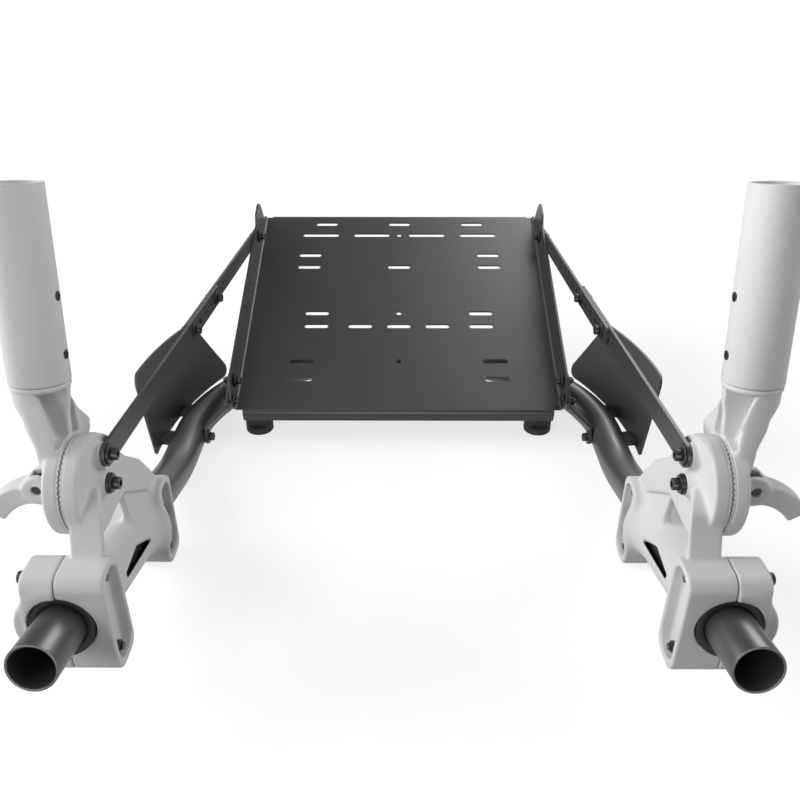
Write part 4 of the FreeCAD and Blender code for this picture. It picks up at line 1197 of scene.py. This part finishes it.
@dataclass
class SheetWork:
    """Folded plate, struts, straps, guards and feet, dressed on the CAD shapes with eased edges."""

    shop: Workshop
    plate_edge: float = 0.45
    strap_edge: float = 0.4
    guard_edge: float = 0.6
    foot_edge: float = 0.8

    def build(self) -> None:
        """Adds every sheet piece and both feet."""
        sheet = Finishes.BLACK_SHEET
        mesh = self.shop.softened("pedal_plate", self.plate_edge)
        self.shop.piece("plate_folded", mesh, sheet, Body.FRAME.value, "pedal_plate")
        jobs = (
            ("strut_lower", self.strap_edge, sheet),
            ("strut_upper", self.strap_edge, sheet),
            ("link_strap", self.strap_edge, sheet),
            ("side_guard", self.guard_edge, sheet),
            ("plate_foot", self.foot_edge, Finishes.RUBBER),
        )
        for name, edge, finish in jobs:
            for side in Side:
                node = f"{name}_{side.label}"
                self.shop.piece(f"{node}_eased", self.shop.softened(node, edge), finish, Body.FRAME.value, node)


class Tree:
    """Geometry node tree under construction, with short ways to add sockets and nodes."""

    def __init__(self, name: str, inputs: Iterable[tuple[str, str]]) -> None:
        """Makes the tree and its sockets.

        Args:
            name: Name of the tree.
            inputs: Name and socket type of each input between the geometry and the material.
        """
        self.tree = bpy.data.node_groups.new(name, "GeometryNodeTree")
        geometry = ("Geometry", "NodeSocketGeometry")
        for label, kind in (geometry, *inputs, ("Material", "NodeSocketMaterial")):
            self.tree.interface.new_socket(name=label, in_out="INPUT", socket_type=kind)
        self.tree.interface.new_socket(name=geometry[0], in_out="OUTPUT", socket_type=geometry[1])
        self.given = self.node("NodeGroupInput").outputs

    def node(self, kind: str, links: dict[str | int, object] | None = None, **settings: object) -> bpy.types.Node:
        """Node with its settings and inputs, as add_node makes it."""
        return add_node(self.tree, kind, links, **settings)

    def first(self, kind: str, links: dict[str | int, object], **settings: object) -> bpy.types.NodeSocket:
        """First output in use of a new node."""
        return next(socket for socket in self.node(kind, links, **settings).outputs if socket.enabled)

    def math(self, operation: str, a: object, b: object) -> bpy.types.NodeSocket:
        """Result of a sum on two values or sockets."""
        return self.first("ShaderNodeMath", {0: a, 1: b}, operation=operation)

    def close(self, geometry: bpy.types.NodeSocket) -> bpy.types.NodeTree:
        """Ends the tree with its instances as real meshes and their material."""
        real = self.first("GeometryNodeRealizeInstances", {"Geometry": geometry})
        links = {"Geometry": real, "Material": self.given["Material"]}
        self.node("NodeGroupOutput", {"Geometry": self.first("GeometryNodeSetMaterial", links)})
        return self.tree

    @staticmethod
    def run(tree: bpy.types.NodeTree, mesh: bpy.types.Mesh, values: dict[str, object], sharp: float) -> bpy.types.Mesh:
        """Plain mesh that the tree makes from a mesh.

        Args:
            tree: The tree.
            mesh: What goes into it.
            values: Its inputs by name.
            sharp: Angle in degrees above which edges stay sharp.

        Returns:
            The new mesh.
        """
        thing = add_object(mesh.name + "_work", mesh)
        modifier = thing.modifiers.new(tree.name, "NODES")
        modifier.node_group = tree
        for item in tree.interface.items_tree:
            if item.item_type == "SOCKET" and item.in_out == "INPUT" and item.name in values:
                modifier[item.identifier] = values[item.name]
        return Workshop.baked(thing, mesh.name + "_made", sharp)


@dataclass
class ToothRings:
    """Meshing face teeth between the two discs of each hinge."""

    shop: Workshop
    count: int = 60
    inner: float = 31.0
    outer: float = 39.6
    ease: tuple[float, float] = (0.5, 0.45)
    depth: float = 1.1
    root: float = 1.6
    land: float = 0.7
    gap: float = 0.15

    @staticmethod
    def tree() -> bpy.types.NodeTree:
        """Tree that sets one tooth round the X axis as often as its count says."""
        make = Tree("tooth_ring", (("Tooth Count", "NodeSocketInt"), ("Phase", "NodeSocketFloat")))
        points = make.first("GeometryNodePoints", {"Count": make.given["Tooth Count"]})
        index = make.first("GeometryNodeInputIndex", {})
        step = make.math("DIVIDE", 2 * math.pi, make.given["Tooth Count"])
        turn = make.math("MULTIPLY", make.math("ADD", index, make.given["Phase"]), step)
        angles = make.first("ShaderNodeCombineXYZ", {"X": turn})
        rotation = make.first("FunctionNodeEulerToRotation", {0: angles})
        links = {"Points": points, "Instance": make.given["Geometry"], "Rotation": rotation}
        return make.close(make.first("GeometryNodeInstanceOnPoints", links))

    def tooth(self, outward: int) -> Shape:
        """One tooth on the Z axis, its tip at X 0 and its root towards minus outward."""
        points: list[Spot] = []
        back, drop = self.ease
        low, deep, flat = -self.depth, -self.depth - self.root, 0.5 * self.land
        for radius, tip in ((self.inner, 0.0), (self.outer - back, 0.0), (self.outer, -drop)):
            half = radius * math.pi / self.count
            section = ((-half, deep), (-half, low), (-flat, tip), (flat, tip), (half, low), (half, deep))
            points += [(outward * x, y, math.sqrt(radius * radius - y * y)) for y, x in section]
        faces = ring_faces(0, 6, 6, False) + ring_faces(6, 12, 6, False)
        faces += [(5, 4, 3, 2, 1, 0), (12, 13, 14, 15, 16, 17)]
        if outward < 0:
            faces = [face[::-1] for face in faces]
        return Shape(np.array(points), faces)

    def build(self) -> None:
        """Adds the fixed and the moving ring of each hinge."""
        tree, white = self.tree(), Finishes.WHITE_CAST
        rings = (("fixed", 1, 0.0, Body.FRAME), ("moving", -1, 0.5, Body.UPRIGHT))
        for side in Side:
            for name, outward, phase, body in rings:
                tooth = self.tooth(outward).on(side)
                mesh = raw_mesh(f"teeth_{name}_{side.label}", tooth.points * MM, tooth.faces)
                values = {"Tooth Count": self.count, "Phase": phase, "Material": self.shop.materials[white]}
                ring = Tree.run(tree, mesh, values, TOOTH_SHARP)
                x = side.value * (PLAN.tooth_x - outward * self.gap)
                ring.transform(Matrix.Translation(to_row(np.array(PLAN.hinge(x)))))
                self.shop.piece(f"teeth_{name}_{side.label}", ring, white, body.on(side))


@dataclass(frozen=True)
class Screw:
    """Place of one screw: where its washer sits, its direction, what it grips and whether a nut ends it."""

    seat: Spot
    axis: Spot
    grip: float
    nut: bool = True


@dataclass
class Screws:
    """Every socket screw, washer and nut of the frame."""

    shop: Workshop
    shank: float = 3.0
    tail: float = 6.4
    bite: float = 8.0
    washer: float = 8.5
    pocket: float = 9.0
    flange_x: float = 200.0
    flange_h: float = 19.0
    lean: float = math.radians(6.0)
    sheet: float = 2.5
    bar: float = 3.0
    bar_half: float = 10.0
    link_half: float = 8.5
    link_y: float = -22.0
    link_places: tuple[tuple[float, float], ...] = ((10.0, 11.0), (36.0, 19.0))
    strut_x: float = 225.9
    strut_s: float = 306.0
    overlap: tuple[float, float] = (0.42, 0.58)
    upright_x: float = 245.4
    upright_levels: tuple[float, float] = (105.0, 149.0)
    upright_grip: float = 6.0
    gap: float = 0.3
    seed: int = 11

    @staticmethod
    def tree() -> bpy.types.NodeTree:
        """Tree that sets head, shank and nut on points which carry an axis, a grip and a nut flag."""
        sizes = (("Shank Radius", "NodeSocketFloat"), ("Tail", "NodeSocketFloat"), ("Seed", "NodeSocketInt"))
        make = Tree("screw_set", (*sizes, ("Head", "NodeSocketObject"), ("Nut", "NodeSocketObject")))
        given, points = make.given, make.given["Geometry"]
        kinds = (("axis", "FLOAT_VECTOR"), ("grip", "FLOAT"), ("nut", "BOOLEAN"))
        carried = "GeometryNodeInputNamedAttribute"
        axis, grip, nut = (make.first(carried, {"Name": name}, data_type=kind) for name, kind in kinds)
        along = make.first("FunctionNodeAlignRotationToVector", {"Vector": axis}, axis="Z")
        spread = make.first("FunctionNodeRandomValue", {"Seed": given["Seed"]}, data_type="FLOAT")
        links = {"Axis": (0, 0, 1), "Angle": make.math("MULTIPLY", spread, math.tau)}
        spin = make.first("FunctionNodeAxisAngleToRotation", links)
        links = {"Rotation": along, "Rotate By": spin}
        turned = make.first("FunctionNodeRotateRotation", links, rotation_space="LOCAL")
        head, cap = (make.node("GeometryNodeObjectInfo", {"Object": given[name]}).outputs["Geometry"]
                     for name in ("Head", "Nut"))
        links = {"Vertices": 24, "Radius": given["Shank Radius"], "Depth": 1.0}
        rod = make.node("GeometryNodeMeshCylinder", links).outputs["Mesh"]
        rod = make.first("GeometryNodeTransform", {"Geometry": rod, "Translation": (0, 0, 0.5)})
        length = make.math("ADD", grip, make.math("MULTIPLY", nut, given["Tail"]))
        scale = make.first("ShaderNodeCombineXYZ", {"X": 1.0, "Y": 1.0, "Z": length})
        shift = make.first("ShaderNodeVectorMath", {0: axis, "Scale": grip}, operation="SCALE")
        ends = make.first("GeometryNodeSetPosition", {"Geometry": points, "Offset": shift})
        join = make.node("GeometryNodeJoinGeometry")
        for links in (
            {"Points": points, "Instance": head, "Rotation": turned},
            {"Points": points, "Instance": rod, "Rotation": along, "Scale": scale},
            {"Points": ends, "Selection": nut, "Instance": cap, "Rotation": turned},
        ):
            fill(make.tree, join, {0: make.first("GeometryNodeInstanceOnPoints", links)})
        return make.close(join.outputs[0])

    def _inside(self, height: float) -> float:
        """Inner face of the side flange at a height over the deck."""
        return self.flange_x + height * math.tan(self.lean)

    def _outside(self, height: float) -> float:
        """Outer face of the side flange at a height over the deck."""
        return self._inside(height) + self.sheet / math.cos(self.lean)

    def clamp_set(self) -> list[Screw]:
        """Two screws through each clamp of the right side."""
        screws = []
        for clamp in CLAMPS:
            for level in clamp.screw_levels():
                seat = (PLAN.base_x + PLAN.ear, clamp.y, level)
                screws.append(Screw(seat, (-1, 0, 0), PLAN.ear + clamp.wall - self.pocket))
        return screws

    def link_set(self) -> list[Screw]:
        """Screws of the right-hand strap: one into the tube, two through the flange."""
        low = PLAN.base_x - PLAN.tube - self.gap - self.bar
        screws = [Screw((low, self.link_y, PLAN.tube), (1, 0, 0), self.bar + self.bite, False)]
        plane = self._outside(self.flange_h + self.link_half) + self.gap
        for s, h in self.link_places:
            inside = self._inside(h - self.washer)
            screws.append(Screw(PLAN.plate_spot(inside, s, h), (1, 0, 0), plane + self.bar - inside))
        return screws

    def strut_set(self, side: Side) -> list[Screw]:
        """Screws of one strut, as they are on the right: both ends and the two where the bars overlap."""
        step = (self.bar + self.gap) * (1 if side is Side.LEFT else -1)
        _, far_y, far_z = PLAN.plate_spot(0.0, self.strut_s, self.flange_h)
        far_x = self._outside(self.flange_h + self.bar_half) + self.gap + 0.5 * self.bar
        near = Vector((self.strut_x, PLAN.strut_y, PLAN.strut_z))
        far = Vector((far_x, far_y, far_z))
        offset = Vector((step, 0, 0))
        across = (far - offset - near).cross(Vector((0, 0, 1))).normalized()
        screws = []
        for share in self.overlap:
            spots = (near.lerp(far - offset, share), (near + offset).lerp(far, share))
            seat = min(spots, key=lambda spot: spot.x) - across * 0.5 * self.bar
            screws.append(Screw(tuple(seat), tuple(across), 2 * self.bar + self.gap))
        seat = (near.x - 0.5 * self.bar, near.y, near.z)
        screws.append(Screw(seat, (1, 0, 0), self.bar + self.bite, False))
        inside = self._inside(self.flange_h - self.washer)
        screws.append(Screw((inside, far_y, far_z), (1, 0, 0), far_x + 0.5 * self.bar + self.gap - inside))
        return screws

    def upright_set(self) -> list[Screw]:
        """The two flush screws in the inner side of the right-hand upright."""
        place = PLAN.upright_frame()
        seats = [place @ Vector((self.upright_x, 0.0, level)) for level in self.upright_levels]
        return [Screw(tuple(seat), (1, 0, 0), self.upright_grip, False) for seat in seats]

    @staticmethod
    def _points(name: str, screws: Sequence[Screw], side: Side) -> bpy.types.Mesh:
        """Mesh of loose points that carry the screws' places."""
        flip = np.array([side.value, 1.0, 1.0])
        mesh = raw_mesh(name, to_row(np.array([screw.seat for screw in screws]) * flip))
        axes = (np.array([screw.axis for screw in screws]) * flip).astype(np.float32)
        carried = (
            ("axis", "FLOAT_VECTOR", "vector", axes.ravel()),
            ("grip", "FLOAT", "value", [screw.grip * MM for screw in screws]),
            ("nut", "BOOLEAN", "value", [screw.nut for screw in screws]),
        )
        for label, kind, field, values in carried:
            mesh.attributes.new(label, kind, "POINT").data.foreach_set(field, values)
        return mesh

    @staticmethod
    def _template(name: str, rings: Sequence[Ring], flip: float) -> bpy.types.Object:
        """Object that holds one screw part at the origin; a flip of -1 faces it back along the screw's axis."""
        shape = stacked(rings)
        return add_object(name, raw_mesh(name, shape.points * np.array([1.0, flip, flip]) * MM, shape.faces))

    def build(self) -> None:
        """Adds every set of screws."""
        tree = self.tree()
        head = self._template("socket_head", HEAD_RINGS, -1.0)
        button = self._template("button_head", BUTTON_RINGS, -1.0)
        nut = self._template("hex_nut", NUT_RINGS, 1.0)
        values = {"Shank Radius": self.shank * MM, "Tail": self.tail * MM, "Seed": self.seed, "Nut": nut}
        values["Material"] = self.shop.materials[Finishes.BLACK_SCREW]
        for side in Side:
            jobs = (
                ("clamp_screws", self.clamp_set(), head, Body.FRAME),
                ("link_screws", self.link_set(), head, Body.FRAME),
                ("strut_screws", self.strut_set(side), head, Body.FRAME),
                ("upright_screws", self.upright_set(), button, Body.UPRIGHT),
            )
            for name, screws, top, body in jobs:
                node = f"{name}_{side.label}"
                points = self._points(node + "_points", screws, side)
                mesh = Tree.run(tree, points, {**values, "Head": top}, SCREW_SHARP)
                self.shop.piece(f"{node}_set", mesh, Finishes.BLACK_SCREW, body.on(side), node)
        for thing in (head, button, nut):
            bpy.data.objects.remove(thing)


@dataclass(frozen=True)
class Lamp:
    """One studio lamp: a soft panel or a broad sun that looks at a point."""

    name: str
    kind: str
    place: Spot
    target: Spot
    power: float
    size: tuple[float, float]
    diffuse: bool = True

    def add(self) -> None:
        """Adds the lamp to the scene."""
        data = bpy.data.lights.new(self.name, self.kind)
        data.energy = self.power
        if self.kind == "SUN":
            data.angle = self.size[0]
        else:
            data.shape = "RECTANGLE"
            data.size, data.size_y = self.size
        lamp = bpy.data.objects.new(self.name, data)
        lamp.location = self.place
        lamp.rotation_euler = (Vector(self.target) - Vector(self.place)).to_track_quat("-Z", "Y").to_euler()
        lamp.visible_diffuse = self.diffuse
        lamp.visible_camera = False
        bpy.context.scene.collection.objects.link(lamp)


@dataclass
class Studio:
    """Pale floor, soft lamps, white surroundings and the photo's camera."""

    lamps: tuple[Lamp, ...] = (
        Lamp("key", "SUN", (-2.0, 0.35, 0.85), (0.0, 0.0, 0.1), 2.6, (math.radians(46), 0.0)),
        Lamp("fill", "SUN", (2.0, 0.3, 1.0), (0.0, 0.0, 0.1), 1.2, (math.radians(46), 0.0)),
        Lamp("front_left", "AREA", (-1.0, -1.3, 0.8), (-0.25, -0.3, 0.15), 7.5, (0.8, 0.8)),
        Lamp("sheen_back", "AREA", (1.0, 1.3, 1.6), (0.1, 0.1, 0.1), 39.0, (1.4, 1.1), False),
        Lamp("sheen_left", "AREA", (-1.6, -0.5, 1.5), (-0.1, -0.1, 0.1), 20.0, (0.9, 1.4), False),
        Lamp("sheen_top", "AREA", (0.0, -0.3, 2.2), (0.0, 0.0, 0.1), 12.0, (1.6, 0.9), False),
        Lamp("sheen_far", "AREA", (0.1, 2.6, 1.2), (0.0, 0.0, 0.05), 12.0, (2.6, 0.7), False),
        Lamp("sheen_front", "AREA", (0.0, -1.9, 0.3), (0.0, 0.0, 0.05), 30.0, (2.0, 0.5), False),
    )
    camera_place: Spot = (0.005, -0.7873, 0.5414)
    pitch: float = 60.0
    yaw: float = 0.2
    lens: float = 36.0
    dome: tuple[float, float] = (0.1, 0.208)
    floor_reach: float = 40.0
    floor_tone: float = 0.42
    floor_seen: float = 0.5
    glow: float = 0.72

    def _floor(self) -> None:
        """Large pale floor that is white to the camera and to reflections, and dimmer in what it throws back."""
        corners = np.array([(-1, -1, 0), (1, -1, 0), (1, 1, 0), (-1, 1, 0)]) * self.floor_reach
        mesh = raw_mesh("floor_mesh", corners, [(0, 1, 2, 3)])
        floor = add_object("studio_floor", mesh)
        material = bpy.data.materials.new("pale_floor")
        material.use_nodes = True
        tree = material.node_tree
        path = add_node(tree, "ShaderNodeLightPath").outputs
        greys = [(tone, tone, tone, 1.0) for tone in (self.floor_tone, self.floor_seen)]
        links = {"Factor": path["Is Camera Ray"], "A": greys[0], "B": greys[1]}
        tone = add_node(tree, "ShaderNodeMix", links, data_type="RGBA")
        links = {0: path["Is Camera Ray"], 1: path["Is Glossy Ray"]}
        seen = add_node(tree, "ShaderNodeMath", links, operation="MAXIMUM").outputs["Value"]
        shade = add_node(tree, "ShaderNodeMath", {0: seen, 1: self.glow}, operation="MULTIPLY")
        fill(tree, tree.nodes["Principled BSDF"], {
            "Base Color": tone.outputs["Result"],
            "Roughness": 1.0,
            "Specular IOR Level": 0.0,
            "Emission Color": WHITE,
            "Emission Strength": shade.outputs["Value"],
        })
        mesh.materials.append(material)

    def _world(self) -> None:
        """White to the camera; to everything else a soft dome that is dimmer behind the camera."""
        world = bpy.data.worlds.new("soft_dome")
        world.use_nodes = True
        bpy.context.scene.world = world
        tree = world.node_tree
        place = add_node(tree, "ShaderNodeTexCoord").outputs["Generated"]
        depth = add_node(tree, "ShaderNodeSeparateXYZ", {"Vector": place}).outputs["Y"]
        links = {"Value": depth, "From Min": -1.0, "To Min": self.dome[0], "To Max": self.dome[1]}
        ramp = add_node(tree, "ShaderNodeMapRange", links).outputs["Result"]
        seen = add_node(tree, "ShaderNodeLightPath").outputs["Is Camera Ray"]
        pick = add_node(tree, "ShaderNodeMix", {"Factor": seen, "A": ramp, "B": 1.0}).outputs["Result"]
        fill(tree, tree.nodes["Background"], {"Color": WHITE, "Strength": pick})

    def _camera(self) -> None:
        """Camera at the photo's angle."""
        data = bpy.data.cameras.new("photo_camera")
        data.lens, data.sensor_width, data.sensor_fit = self.lens, 36.0, "AUTO"
        camera = bpy.data.objects.new("photo_camera", data)
        camera.location = self.camera_place
        camera.rotation_euler = (math.radians(self.pitch), 0.0, math.radians(self.yaw))
        bpy.context.scene.collection.objects.link(camera)
        bpy.context.scene.camera = camera

    def build(self) -> None:
        """Sets the whole stage."""
        bpy.context.scene.view_settings.view_transform = "Standard"
        self._floor()
        self._world()
        self._camera()
        for lamp in self.lamps:
            lamp.add()


def main() -> None:
    """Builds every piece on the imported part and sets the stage."""
    logging.basicConfig(level=logging.INFO, format="%(name)s %(message)s")
    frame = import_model()
    shop = Workshop(frame["nodes"])
    casting, arm = SideCasting(shop), HingeArm(shop)
    cast_shape, arm_shape = casting.shape(), arm.arm_shape()
    for side in Side:
        casting.build(side, cast_shape)
        arm.build(side, arm_shape)
    for assembly in (ClampCaps, ClampLever, Tubes, SheetWork, ToothRings, Screws):
        assembly(shop).build()
    Studio().build()


if __name__ == "__main__":
    main()
